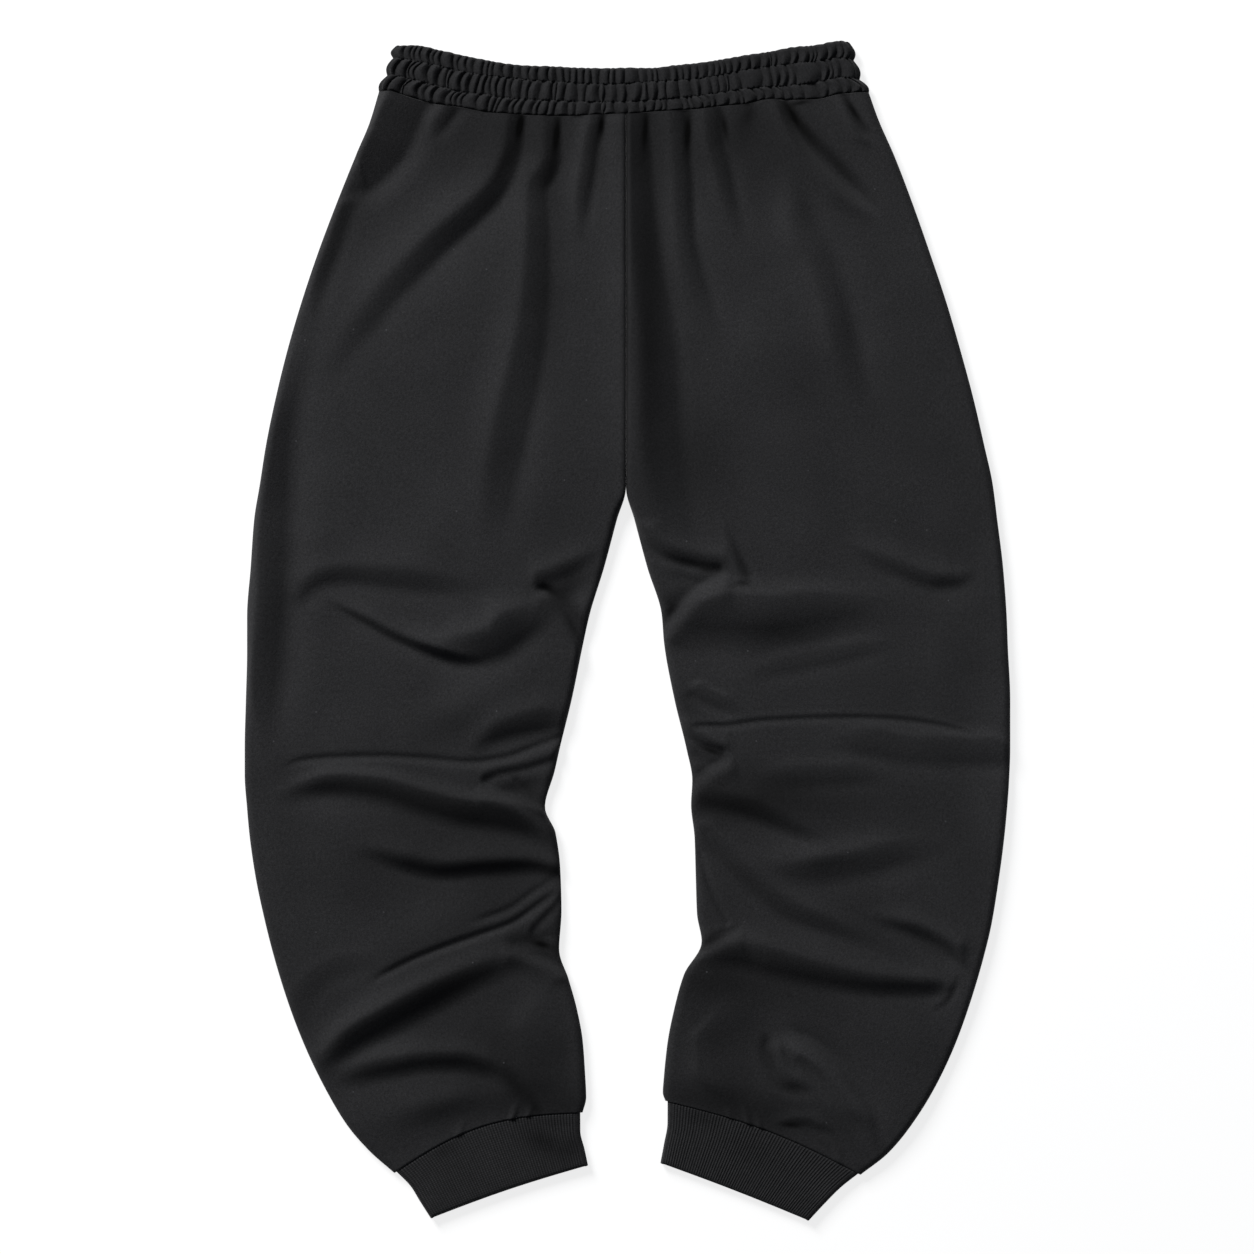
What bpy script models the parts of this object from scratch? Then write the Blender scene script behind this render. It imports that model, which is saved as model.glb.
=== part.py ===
"""Jogger sweatpants laid flat on their front and seen from the back.

Blender 4.5, metres, +Z up. The trousers lie on the plane z = 0 with the waist towards +Y, and
the origin is the middle of their outline on that plane. Every size below is in millimetres and
becomes metres where a mesh is made. Each leg is an upper and a lower panel of fleece that meet
at the side seam and at the inseam. The waistband and the cuffs are tubes folded flat.
"""

import math
from collections import namedtuple

import bmesh
import bpy
import numpy as np

MM = 0.001

# Cloth
WALL = 2.0
SEAM_GAP = 0.3
SEAM_HEIGHT = 4.0
FLOOR_CLEARANCE = 2.35
BODY_HEIGHT = 9.0
HIGHEST_FOLD = 24.0
CROWN = 3.0
BACK_DECAY = 4.5
TAPERED_SHARE = 0.45
NARROW_POWER = 0.5
LOWEST_OUTSIDE = 4.5
STEEPEST_WALL = 1.7

# Rolled edges at the side seam and the inseam
EDGE_ROLL = 8.0
EDGE_COLUMNS = (1.2, 3.5, 8.0)
TYPICAL_WIDTH = 290.0
CROTCH_Y = 122.0
INSEAM_BLEND = 24.0
CROWN_BLEND = 160.0
HIP_HALF_WIDTH = 315.0

# Seams
CENTRE_X = -1.3
WAIST_MIDDLE_Y = 437.0
WAIST_END_RISE = 19.5
WAIST_HALF_WIDTH = 208.0
WAIST_SEAM_FADE = 12.0
WAIST_SEAM_SHARE = 0.35
CUFF_SEAM_HEIGHT = 6.9
CUFF_SEAM_FADE = 22.0
CENTRE_GROOVE = 1.4
CENTRE_GROOVE_WIDTH = 5.0

# Waistband: three rows of puffs over an elastic
BAND_LOWER_WALL = 4.2
BAND_HOLLOW = 1.2
BAND_FACE = 9.2
BAND_PUFF = 2.4
BAND_END = 4.2
BAND_EDGE_BULGE = 3.0
TOP_PUFFS = 63
BAND_UNDER_COLUMNS = 14
PUFF_STEPS = 3

# Cuffs: rib knit folded flat
CUFF_LOWER_WALL = 2.8
CUFF_HOLLOW = 0.8
CUFF_FACE = 6.3
CUFF_RIB = 0.8
CUFF_END = 3.0
RIBS = 62
CUFF_UNDER_COLUMNS = 12
CUFF_ROWS = 3
CUFF_TRIM = 0.012

# Meshing
UPPER_COLUMNS = 11
UPPER_ROWS = 30
UPPER_TOLERANCE = 1.15
LOWER_COLUMNS = 3
LOWER_ROWS = 16
LOWER_TOLERANCE = 0.9
SEAM_TOLERANCE = 0.08
SHORTEST_EDGE = 7.0
REFINING_ROUNDS = 3
END_STEPS = 4
ROUTE_STEP = 5.0

# Rows down a leg: where the side seam and the inseam lie at the same place along the leg
LegRow = namedtuple("LegRow", "outer_x outer_y inner_x inner_y")
LEFT_LEG_ROWS = (
    LegRow(-211, 457, -1.3, 438),
    LegRow(-219, 431, -1.3, 413),
    LegRow(-232, 400, -1.3, 385),
    LegRow(-248, 360, -1.3, 350),
    LegRow(-263, 320, -1.3, 312),
    LegRow(-277, 278, -1.3, 272),
    LegRow(-289, 237, -1.3, 232),
    LegRow(-299, 196, -1.3, 193),
    LegRow(-307, 157, -1.3, 156),
    LegRow(-312, 125, -1.3, 122),
    LegRow(-317, 94, -9, 94),
    LegRow(-320, 53, -20, 53),
    LegRow(-323, 12, -32, 14),
    LegRow(-323, -18, -38, -13),
    LegRow(-324, -59, -47, -57),
    LegRow(-325, -100, -57, -98),
    LegRow(-325, -122, -62, -120),
    LegRow(-323, -151, -70, -150),
    LegRow(-321, -173, -61, -172),
    LegRow(-316, -208, -57, -203),
    LegRow(-308, -246, -56, -238),
    LegRow(-299, -281, -58, -270),
    LegRow(-286, -322, -50, -296),
    LegRow(-273, -355, -43, -321),
    LegRow(-256, -390, -38, -348),
    LegRow(-238, -420, -36, -375),
    LegRow(-219, -442, -35, -396),
    LegRow(-198, -460.5, -38, -409),
)
RIGHT_LEG_ROWS = (
    LegRow(205, 456, -1.3, 438),
    LegRow(213, 434, -1.3, 413),
    LegRow(227, 402, -1.3, 385),
    LegRow(243, 360, -1.3, 350),
    LegRow(257, 320, -1.3, 312),
    LegRow(271, 278, -1.3, 272),
    LegRow(283, 237, -1.3, 232),
    LegRow(294, 196, -1.3, 193),
    LegRow(303, 157, -1.3, 156),
    LegRow(310, 125, -1.3, 122),
    LegRow(314, 94, 6, 94),
    LegRow(319, 53, 17, 53),
    LegRow(322, 12, 29, 14),
    LegRow(323, -14, 31, -10),
    LegRow(325, -59, 40, -59),
    LegRow(325, -100, 50, -100),
    LegRow(324, -128, 55, -127),
    LegRow(322, -155, 54, -148),
    LegRow(319, -184, 57, -176),
    LegRow(314, -220, 58, -210),
    LegRow(309, -250, 59, -240),
    LegRow(302, -279, 63, -264),
    LegRow(291, -316, 48, -292),
    LegRow(278, -352, 40, -320),
    LegRow(261, -388, 34, -350),
    LegRow(241, -420, 31, -378),
    LegRow(221, -444, 30, -392),
    LegRow(198, -462, 32, -399),
)

# How far the cuff seams bow towards the waist
LEFT_CUFF_BOW = 15.0
RIGHT_CUFF_BOW = 7.0

# Lines across a cuff below its seam, from the inseam side to the side seam side
CuffLine = namedtuple("CuffLine", "inner_x inner_y outer_x outer_y bow")
LEFT_CUFF_LINES = (
    CuffLine(-40, -425, -184, -472, 10),
    CuffLine(-36.5, -440, -176, -485, 6),
    CuffLine(-33.5, -454, -167, -499, 2),
)
RIGHT_CUFF_LINES = (
    CuffLine(34, -418, 181, -473, 4),
    CuffLine(31, -436, 167, -487, 2),
    CuffLine(28, -452, 154, -501, 1),
)

# Lines along the waistband: the open edge, two lines of stitching and the waist seam
BandLine = namedtuple("BandLine", "left_x right_x lowest_x lowest_y end_rise")
BAND_LINES = (
    BandLine(-197, 189, -15, 476, 26),
    BandLine(-199, 192, -12, 463, 26),
    BandLine(-204, 197, -5, 449.5, 21),
    BandLine(-211, 205, 0, WAIST_MIDDLE_Y, WAIST_END_RISE),
)

# Folds. The route is the foot of the fold, and the ridge lies on the left of its direction.
# rise: height of the crest; dip: depth of the foot; flank: foot to crest; back: crest to level;
# foot: width of the dip on the far side; fade_in and fade_out: how far each end takes to grow;
# flank_end: the flank's width where the route ends; soft: how far its bends are rounded;
# bow: how much steeper the flank is at its foot than at its crest.
Fold = namedtuple(
    "Fold", "rise dip flank back foot fade_in fade_out route flank_end soft bow",
    defaults=(0.0, 3.0, 0.6),
)
SHARED_FOLDS = (
    Fold(9.5, 5.5, 46, 60, 36, 170, 6,
         ((64, 20), (58, 80), (51, 130), (46, 190), (43, 240), (40, 262), (34, 290), (29, 320), (25, 350),
          (22, 380), (20, 415), (17, 437)), flank_end=17, soft=8, bow=0.0),
)
LEFT_FOLDS = (
    Fold(5.5, 5.5, 36, 14, 20, 30, 8,
         ((-242, 372), (-222, 371), (-208, 379), (-195, 392), (-186, 403), (-178, 422), (-168, 443)),
         soft=4, bow=0.1),
    Fold(3.0, 2.4, 13, 16, 12, 18, 5, ((-166, 412), (-150, 430), (-137, 448)), bow=0.2),
    Fold(6.5, 5.0, 32, 50, 34, 130, 6,
         ((-268, 172), (-248, 210), (-230, 236), (-212, 257), (-192, 281), (-172, 301), (-151, 322),
          (-124, 347), (-106, 366), (-94, 388), (-89, 408), (-87, 437)),
         flank_end=13, soft=7, bow=0.15),
    Fold(6.5, 4.5, 32, 40, 30, 130, 5,
         ((-112, 42), (-101, 90), (-91, 135), (-80, 180), (-72, 220), (-67, 260), (-65, 300), (-66, 345),
          (-68, 372), (-61, 384), (-56, 400), (-57, 425), (-60, 439)),
         flank_end=11, soft=7, bow=0.15),
    Fold(4.0, 3.0, 15, 18, 16, 60, 5,
         ((-38, 322), (-33, 350), (-28, 380), (-24, 408), (-18, 438)), flank_end=12, soft=4),
    Fold(5.5, 4.5, 26, 18, 30, 70, 50,
         ((-298, -110), (-292, -40), (-286, 40), (-284, 120), (-282, 165), (-275, 200), (-265, 240),
          (-254, 268), (-242, 297), (-231, 325), (-220, 358)), soft=7, bow=0.2),
    Fold(6.0, 3.2, 13, 42, 22, 26, 70,
         ((-284, 15), (-271, 27), (-257, 36), (-240, 38), (-200, 34), (-150, 29), (-104, 33)),
         flank_end=20, soft=5, bow=0.2),
    Fold(10.0, 5.0, 9, 32, 24, 45, 14,
         ((-260, 27), (-240, 14), (-220, 2), (-200, -8), (-176, -17), (-155, -24), (-131, -28),
          (-110, -22), (-92, -8), (-78, 8), (-66, 22)), flank_end=26, soft=5, bow=0.2),
    Fold(4.0, 6.0, 17, 26, 18, 14, 4,
         ((-84, 36), (-66, 38), (-47, 44), (-31, 54), (-17, 67)), soft=4, bow=0.2),
    Fold(5.5, 4.5, 12, 28, 18, 4, 14, ((-38, -10), (-50, 12), (-63, 28), (-84, 39)), soft=4, bow=0.2),
    Fold(7.0, 5.0, 10, 30, 18, 36, 3,
         ((-138, -108), (-116, -97), (-96, -91), (-72, -87), (-50, -84)),
         flank_end=30, soft=4, bow=0.2),
    Fold(0, 2.6, 6, 4, 7, 30, 5,
         ((-298, -119), (-278, -111), (-250, -108), (-209, -107), (-170, -109), (-134, -112),
          (-104, -108), (-76, -98), (-54, -90)), soft=2),
    Fold(9.5, 5.0, 22, 15, 28, 50, 6,
         ((-304, -148), (-275, -141), (-250, -139), (-212, -143), (-173, -156), (-140, -166),
          (-112, -170), (-88, -176), (-66, -188)), flank_end=54, soft=5, bow=0.1),
    Fold(2.0, 4.0, 11, 14, 16, 12, 4, ((-129, -128), (-100, -123), (-80, -118), (-58, -108)), soft=3.5),
    Fold(4.5, 3.5, 11, 28, 18, 6, 16, ((-58, -180), (-80, -156), (-104, -142), (-127, -128)), soft=3.5),
    Fold(8.5, 6.0, 23, 24, 32, 50, 3,
         ((-236, -185), (-212, -193), (-185, -204), (-155, -210), (-124, -211), (-90, -207),
          (-54, -207)), soft=5, bow=0.3),
    Fold(0, 3.0, 6, 3, 7, 12, 30,
         ((-58, -221), (-84, -239), (-98, -248), (-120, -256), (-160, -270), (-186, -281),
          (-224, -302)), soft=2),
    Fold(0, 2.0, 6, 3, 7, 8, 30, ((-56, -207), (-80, -222), (-100, -236), (-140, -250)), soft=2),
    Fold(2.5, 5.0, 12, 16, 15, 12, 4, ((-101, -261), (-80, -246), (-56, -226)), soft=3.5),
    Fold(4.5, 4.5, 11, 22, 15, 4, 14, ((-56, -284), (-80, -275), (-102, -261)), soft=3.5),
    Fold(2.8, 1.8, 18, 16, 14, 20, 40,
         ((-272, -345), (-268, -318), (-254, -300), (-200, -281)), soft=5),
    Fold(11.0, 6.0, 34, 26, 40, 60, 50,
         ((-284, -402), (-248, -376), (-217, -355), (-190, -338), (-165, -322), (-140, -306),
          (-118, -294), (-92, -288), (-54, -292)), soft=7, bow=0.15),
    Fold(9.0, 5.0, 24, 26, 34, 60, 20,
         ((-262, -366), (-238, -372), (-205, -377), (-170, -377), (-140, -377), (-114, -381), (-98, -388),
          (-78, -404)), soft=6, bow=0.2),
    Fold(4.5, 3.0, 46, 50, 12, 40, 40, ((-43, -405), (-44, -345), (-56, -290)), soft=12, bow=0),
)
RIGHT_FOLDS = (
    Fold(4.5, 3.4, 20, 24, 20, 70, 5,
         ((82, 245), (66, 300), (60, 322), (57, 342), (56, 370), (54, 400), (50, 439)),
         flank_end=14, soft=4),
    Fold(3.4, 2.6, 14, 18, 15, 60, 5,
         ((102, 322), (95, 355), (91, 375), (87, 395), (82, 412), (79, 441)), soft=4),
    Fold(3.5, 8.0, 15, 24, 13, 40, 5,
         ((216, 350), (203, 362), (186, 380), (170, 396), (157, 410), (147, 424), (140, 437),
          (134, 451)), flank_end=9, soft=3.5, bow=0.2),
    Fold(1.5, 2.0, 8, 10, 8, 14, 5, ((210, 412), (197, 428), (186, 452))),
    Fold(4.2, 3.2, 21, 30, 28, 60, 60,
         ((208, 190), (196, 240), (188, 275), (181, 300), (172, 325), (160, 345), (150, 370),
          (139, 398)), soft=6),
    Fold(2.5, 5.0, 11, 20, 15, 4, 14, ((10, 72), (37, 58), (59, 52), (84, 49)), soft=3.5),
    Fold(5.0, 3.5, 11, 22, 17, 14, 4, ((88, 49), (64, 38), (50, 31), (38, 19), (30, 6)), soft=3.5),
    Fold(2.4, 2.2, 12, 14, 10, 12, 34, ((107, 36), (98, 57), (91, 75), (82, 100)), soft=4),
    Fold(10.0, 7.0, 46, 22, 30, 6, 80,
         ((38, -6), (80, -10), (115, -10), (150, -6), (190, 2), (236, 16)), flank_end=36, soft=6,
         bow=0.4),
    Fold(6.0, 4.0, 16, 28, 30, 36, 24,
         ((172, 64), (200, 57), (225, 47), (250, 40), (272, 38), (287, 45), (298, 56)), soft=4),
    Fold(2.8, 2.0, 15, 14, 16, 30, 30, ((96, -43), (150, -34), (189, -26), (230, -14)), soft=4),
    Fold(2.0, 2.0, 13, 8, 10, 8, 18, ((48, -52), (69, -64), (94, -74)), soft=3),
    Fold(0.6, 2.6, 6, 5, 8, 8, 12,
         ((50, -81), (80, -81), (110, -77), (146, -75), (190, -74), (232, -76), (276, -83),
          (320, -97)), soft=2),
    Fold(4.5, 3.5, 25, 16, 24, 45, 10, ((160, -96), (200, -106), (245, -114), (322, -115)), soft=5),
    Fold(2.0, 4.5, 11, 14, 13, 4, 14, ((44, -84), (62, -95), (87, -103)), soft=3.5),
    Fold(5.0, 3.5, 11, 24, 15, 14, 4, ((90, -103), (80, -111), (66, -120), (53, -130)), soft=3.5),
    Fold(2.2, 1.8, 18, 16, 14, 35, 40, ((100, -128), (150, -133), (195, -131), (235, -128)), soft=5),
    Fold(9.5, 6.5, 38, 22, 28, 4, 90,
         ((54, -149), (80, -153), (105, -161), (130, -168), (160, -171), (205, -166)),
         flank_end=30, soft=6, bow=0.3),
    Fold(5.0, 3.6, 18, 22, 20, 8, 70,
         ((60, -180), (77, -196), (96, -215), (116, -233), (142, -248), (178, -260), (222, -272)),
         soft=4),
    Fold(4.4, 3.4, 24, 22, 22, 30, 50,
         ((108, -208), (160, -215), (204, -208), (245, -196), (282, -184)), soft=6),
    Fold(0, 3.0, 5, 3, 7, 10, 4, ((59, -182), (66, -205), (75, -227), (87, -251)), soft=2),
    Fold(4.0, 3.0, 11, 16, 10, 14, 4, ((99, -251), (80, -258), (58, -270)), soft=3.5),
    Fold(11.0, 6.0, 38, 28, 46, 14, 40,
         ((50, -301), (80, -297), (110, -298), (140, -302), (170, -306), (204, -309), (242, -310),
          (288, -298)), flank_end=15, soft=6, bow=0.25),
    Fold(2.0, 2.4, 14, 10, 10, 12, 14, ((254, -328), (268, -315), (278, -301), (279, -282)), soft=4),
    Fold(5.5, 3.6, 16, 20, 16, 24, 10,
         ((208, -252), (238, -257), (262, -269), (280, -284), (298, -300)), soft=4),
    Fold(4.0, 2.0, 16, 18, 16, 24, 24,
         ((212, -428), (204, -402), (189, -380), (171, -358), (150, -343), (128, -338)), soft=4),
    Fold(3.5, 3.0, 12, 14, 14, 16, 26, ((120, -348), (120, -370), (131, -384), (168, -392)), soft=4),
    Fold(4.0, 3.0, 52, 18, 50, 36, 36, ((112, -408), (112, -360), (106, -306)), soft=12, bow=0),
    Fold(4.0, 3.5, 12, 14, 12, 14, 14, ((118, -437), (125, -431), (138, -423), (156, -426), (185, -440)), soft=4),
)

# Soft swellings, or hollows where the height is negative
Mound = namedtuple("Mound", "x y height length width turn", defaults=(0.0,))
LEFT_MOUNDS = (
    Mound(-265, 78, 2.0, 30, 22),
    Mound(-46, 30, -3.0, 26, 15, 35),
    Mound(-142, -66, 3.5, 44, 26, 20),
    Mound(-88, -134, -2.5, 28, 12, 8),
    Mound(-76, -262, -3.0, 20, 9, 5),
    Mound(-160, -400, 3.0, 50, 22, 12),
    Mound(-190, 250, 2.5, 90, 120, -60),
    Mound(-165, -255, 2.0, 80, 30, 25),
    Mound(-225, -185, 3.0, 70, 70),
    Mound(-75, -200, -2.5, 50, 70),
)
RIGHT_MOUNDS = (
    Mound(52, 44, -3.0, 22, 11, -20),
    Mound(62, -108, -2.5, 18, 9, -20),
    Mound(270, -30, 3.0, 40, 60),
    Mound(205, -445, 2.5, 18, 28),
    Mound(160, -190, 3.0, 60, 16, 6),
    Mound(120, 240, 2.5, 60, 120, -75),
    Mound(160, -440, 3.0, 28, 12, -25),
    Mound(90, -345, -2.0, 50, 40),
)

# Small gathers where a leg runs into its cuff: place along the seam from the inseam, and size
Tuck = namedtuple("Tuck", "along reach rise width")
LEFT_TUCKS = (
    Tuck(0.24, 20, 1.6, 5),
    Tuck(0.34, 26, 2.2, 6),
    Tuck(0.47, 16, 1.5, 5),
    Tuck(0.60, 24, 2.0, 6),
    Tuck(0.74, 15, 1.5, 5),
    Tuck(0.86, 20, 1.8, 6),
)
RIGHT_TUCKS = (
    Tuck(0.18, 14, 1.3, 5),
    Tuck(0.33, 24, 2.2, 6),
    Tuck(0.45, 26, 2.4, 6),
    Tuck(0.58, 18, 1.8, 6),
    Tuck(0.84, 22, 2.0, 6),
    Tuck(0.93, 16, 1.6, 5),
)

# Colours as they look in daylight
FLEECE_COLOUR = "2B2B2D"
BAND_COLOUR = "29292B"
RIB_COLOUR = "232325"


class Curve:
    """A smooth curve through its points, read at a share of the way from 0 to 1."""

    def __init__(self, points, knots=None):
        self.points = np.array(points, float)
        if knots is None:
            steps = np.linalg.norm(np.diff(self.points, axis=0), axis=1)
            knots = np.concatenate([[0.0], np.cumsum(steps)]) / steps.sum()
        self.knots = np.array(knots, float)
        secants = np.diff(self.points, axis=0) / np.diff(self.knots)[:, None]
        product = secants[:-1] * secants[1:]
        total = np.where(product > 0, secants[:-1] + secants[1:], 1.0)
        inside = np.where(product > 0, 2 * product / total, 0.0)
        self.slopes = np.concatenate([secants[:1], inside, secants[-1:]])

    def at(self, share):
        share = np.clip(np.asarray(share, float), 0.0, 1.0)
        index = np.searchsorted(self.knots, share, side="right") - 1
        index = np.clip(index, 0, len(self.knots) - 2)
        step = self.knots[index + 1] - self.knots[index]
        t = ((share - self.knots[index]) / step)[..., None]
        step = step[..., None]
        start, end = self.points[index], self.points[index + 1]
        leave, arrive = self.slopes[index] * step, self.slopes[index + 1] * step
        return (
            start * (2 * t**3 - 3 * t**2 + 1)
            + leave * (t**3 - 2 * t**2 + t)
            + end * (3 * t**2 - 2 * t**3)
            + arrive * (t**3 - t**2)
        )


def smooth_step(value):
    value = np.clip(value, 0.0, 1.0)
    return value * value * (3.0 - 2.0 * value)


def bowed_line(start, end, bow, share):
    """Points on a line that bows towards +Y by the given amount in its middle."""
    start, end = np.array(start, float), np.array(end, float)
    share = np.asarray(share, float)[..., None]
    across = end - start
    normal = np.array([-across[1], across[0]]) / np.linalg.norm(across)
    if normal[1] < 0:
        normal = -normal
    return start + across * share + normal * bow * np.sin(math.pi * share)


def waist_seam_y(x):
    return WAIST_MIDDLE_Y + WAIST_END_RISE * (x / WAIST_HALF_WIDTH) ** 2


def distance_to_route(points, route):
    """Signed distance to a route, positive on its left, with the way along it and its length."""
    length = np.linalg.norm(np.diff(route, axis=0), axis=1).sum()
    count = max(2, int(math.ceil(length / ROUTE_STEP)) + 1)
    line = Curve(route).at(np.linspace(0.0, 1.0, count))
    best = np.full(len(points), np.inf)
    signed = np.zeros(len(points))
    along = np.zeros(len(points))
    walked = 0.0
    for start, end in zip(line[:-1], line[1:]):
        step = end - start
        span = np.linalg.norm(step)
        to_point = points - start
        t = np.clip(to_point @ step / span**2, 0.0, 1.0)
        distance = np.linalg.norm(to_point - t[:, None] * step, axis=1)
        side = np.sign(step[0] * to_point[:, 1] - step[1] * to_point[:, 0])
        nearer = distance < best
        best = np.where(nearer, distance, best)
        signed = np.where(nearer, distance * np.where(side == 0, 1, side), signed)
        along = np.where(nearer, walked + t * span, along)
        walked += span
    return signed, along, walked


def fold_height(points, fold):
    """Height that one fold adds over each point of the plan."""
    route = np.array(fold.route, float)
    away, along, length = distance_to_route(points, route)
    strength = smooth_step(along / fold.fade_in) * smooth_step((length - along) / fold.fade_out)
    flank_end = fold.flank_end or fold.flank
    flank = fold.flank + (flank_end - fold.flank) * along / length
    narrowed = (flank / max(fold.flank, flank_end)) ** NARROW_POWER
    flank = flank * (TAPERED_SHARE + (1.0 - TAPERED_SHARE) * strength)
    return strength * narrowed * fold_profile(away, flank, fold)


def fold_profile(away, flank, fold):
    """The height across a fold: its dip, its flank up to the crest, and its soft back."""
    climb = fold.rise + fold.dip
    down = np.clip(1.0 - away / flank, 0.0, 1.0)
    flank_side = fold.rise - climb * ((1.0 - fold.bow) * down + fold.bow * down**2)
    past = np.clip((away - flank) / fold.back, 0.0, 1.0)
    back_side = fold.rise * (1.0 + BACK_DECAY * past) * np.exp(-BACK_DECAY * past)
    back_side *= (1.0 - past**2) ** 2
    foot_side = -fold.dip * np.clip(1.0 + away / fold.foot, 0.0, 1.0) ** 2
    height = np.where(away < flank, flank_side, back_side)
    height = np.where(away < 0, foot_side, height)
    foot_bend = climb * (1.0 + fold.bow) / flank + 2 * fold.dip / fold.foot
    crest_bend = climb * (1.0 - fold.bow) / flank
    height += foot_bend * rounding(away, fold.soft)
    return height - crest_bend * rounding(away - flank, fold.soft)


def rounding(distance, soft):
    """What a bend of slope 1 at distance 0 gains when it is rounded over a soft width."""
    return np.clip(soft - np.abs(distance), 0.0, None) ** 2 / (4 * soft)


def mound_height(points, mound):
    """Height that one mound adds over each point of the plan."""
    turn = math.radians(mound.turn)
    x, y = points[:, 0] - mound.x, points[:, 1] - mound.y
    along = (x * math.cos(turn) + y * math.sin(turn)) / mound.length
    across = (y * math.cos(turn) - x * math.sin(turn)) / mound.width
    return mound.height * np.exp(-2.0 * (along**2 + across**2))


class Leg:
    """The plan and the heights of one leg, from its table of rows."""

    def __init__(self, rows, folds, mounds, tucks, cuff_bow, side):
        self.folds = folds
        self.mounds = mounds
        self.tucks = tucks
        self.cuff_bow = cuff_bow
        self.side = side
        outer = np.array([(row.outer_x, row.outer_y) for row in rows], float)
        inner = np.array([(row.inner_x, row.inner_y) for row in rows], float)
        self.cuff_inner, self.cuff_outer = inner[-1], outer[-1]
        inner[:, 0] += side * SEAM_GAP / 2
        steps = np.linalg.norm(np.diff((outer + inner) / 2, axis=0), axis=1)
        knots = np.concatenate([[0.0], np.cumsum(steps)]) / steps.sum()
        outer[0, 1] = waist_seam_y(outer[0, 0]) - SEAM_GAP / 2
        inner[0, 1] = waist_seam_y(inner[0, 0]) - SEAM_GAP / 2
        inner[-1] = self.cuff_seam(np.array([0.0]))[0]
        outer[-1] = self.cuff_seam(np.array([1.0]))[0]
        self.length = steps.sum()
        self.outer = Curve(outer, knots)
        self.inner = Curve(inner, knots)

    def cuff_seam(self, share):
        """The panel's side of the cuff seam, half a gap above it."""
        seam = bowed_line(self.cuff_inner, self.cuff_outer, self.cuff_bow, share)
        return seam + np.array([0.0, SEAM_GAP / 2])

    def plan(self, u, v):
        """Plan position: u runs from the inseam to the side seam, v from the waist to the cuff."""
        inner, outer = self.inner.at(v), self.outer.at(v)
        first, last = self.inner.at(np.array([0.0]))[0], self.outer.at(np.array([0.0]))[0]
        top = first + (last - first) * u[:, None]
        top_shift = waist_seam_y(top[:, 0]) - SEAM_GAP / 2 - top[:, 1]
        low_first, low_last = self.cuff_seam(np.array([0.0]))[0], self.cuff_seam(np.array([1.0]))[0]
        straight = low_first + (low_last - low_first) * u[:, None]
        low_shift = self.cuff_seam(u) - straight
        place = inner + (outer - inner) * u[:, None]
        place[:, 1] += top_shift * (1.0 - v)
        return place + low_shift * v[:, None]

    def width(self, v):
        return np.linalg.norm(self.outer.at(v) - self.inner.at(v), axis=1)

    def open_edge(self, v):
        """1 along the inseam and 0 along the centre seam, where the two legs are joined."""
        return smooth_step((CROTCH_Y - self.inner.at(v)[:, 1]) / INSEAM_BLEND)

    def crown_height(self, place, u):
        """The swell of a leg over the air inside it: one swell across both legs at the hips."""
        parted = smooth_step((CROTCH_Y + CROWN_BLEND / 2 - place[:, 1]) / CROWN_BLEND)
        over_leg = 1.0 - (2.0 * u - 1.0) ** 2
        over_hips = 1.0 - np.clip(np.abs(place[:, 0]) / HIP_HALF_WIDTH, 0.0, 1.0) ** 2
        return CROWN * (over_leg * parted + over_hips * (1.0 - parted))

    def face_height(self, place, u, v):
        """Height of the upper panel's outside before its edges turn down."""
        folds = sum(fold_height(place, fold) for fold in self.folds)
        folds += sum(mound_height(place, mound) for mound in self.mounds)
        groove = np.clip(1.0 - np.abs(place[:, 0] - CENTRE_X) / CENTRE_GROOVE_WIDTH, 0.0, 1.0)
        groove *= 1.0 - self.open_edge(v)
        from_waist = self.length * v
        from_cuff = self.length * (1.0 - v)
        share = WAIST_SEAM_SHARE + (1 - WAIST_SEAM_SHARE) * smooth_step(from_waist / WAIST_SEAM_FADE)
        cuff_share = smooth_step(from_cuff / CUFF_SEAM_FADE)
        height = BODY_HEIGHT + folds * share - CENTRE_GROOVE * groove
        height += self.crown_height(place, u)
        height = CUFF_SEAM_HEIGHT + (height - CUFF_SEAM_HEIGHT) * cuff_share
        height += self.tuck_height(place, from_cuff)
        low = np.logaddexp(0.0, height - LOWEST_OUTSIDE) + LOWEST_OUTSIDE
        return HIGHEST_FOLD - np.logaddexp(0.0, HIGHEST_FOLD - low)

    def tuck_height(self, place, from_cuff):
        total = np.zeros(len(place))
        for tuck in self.tucks:
            root = self.cuff_seam(np.array([tuck.along]))[0]
            across = np.abs(place[:, 0] - root[0] + self.side * 0.25 * from_cuff)
            ridge = np.clip(1.0 - across / tuck.width, 0.0, 1.0)
            total += tuck.rise * smooth_step(ridge) * (
                np.clip(1.0 - from_cuff / tuck.reach, 0.0, 1.0) * smooth_step(from_cuff / 4.0)
            )
        return total

    def edge_turn(self, u, v):
        """How much of the full height is left near a rolled edge, and the inside's shift in u."""
        width = self.width(v)
        opened = self.open_edge(v)
        turn_inner = np.clip(1.0 - u * width / EDGE_ROLL, 0.0, 1.0)
        turn_outer = np.clip(1.0 - (1.0 - u) * width / EDGE_ROLL, 0.0, 1.0)
        fall = np.sqrt(1.0 - turn_outer**2)
        fall *= 1.0 - opened * (1.0 - np.sqrt(1.0 - turn_inner**2))
        inward = WALL * (opened * turn_inner**2 - turn_outer**2) / width
        return fall, inward

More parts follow.
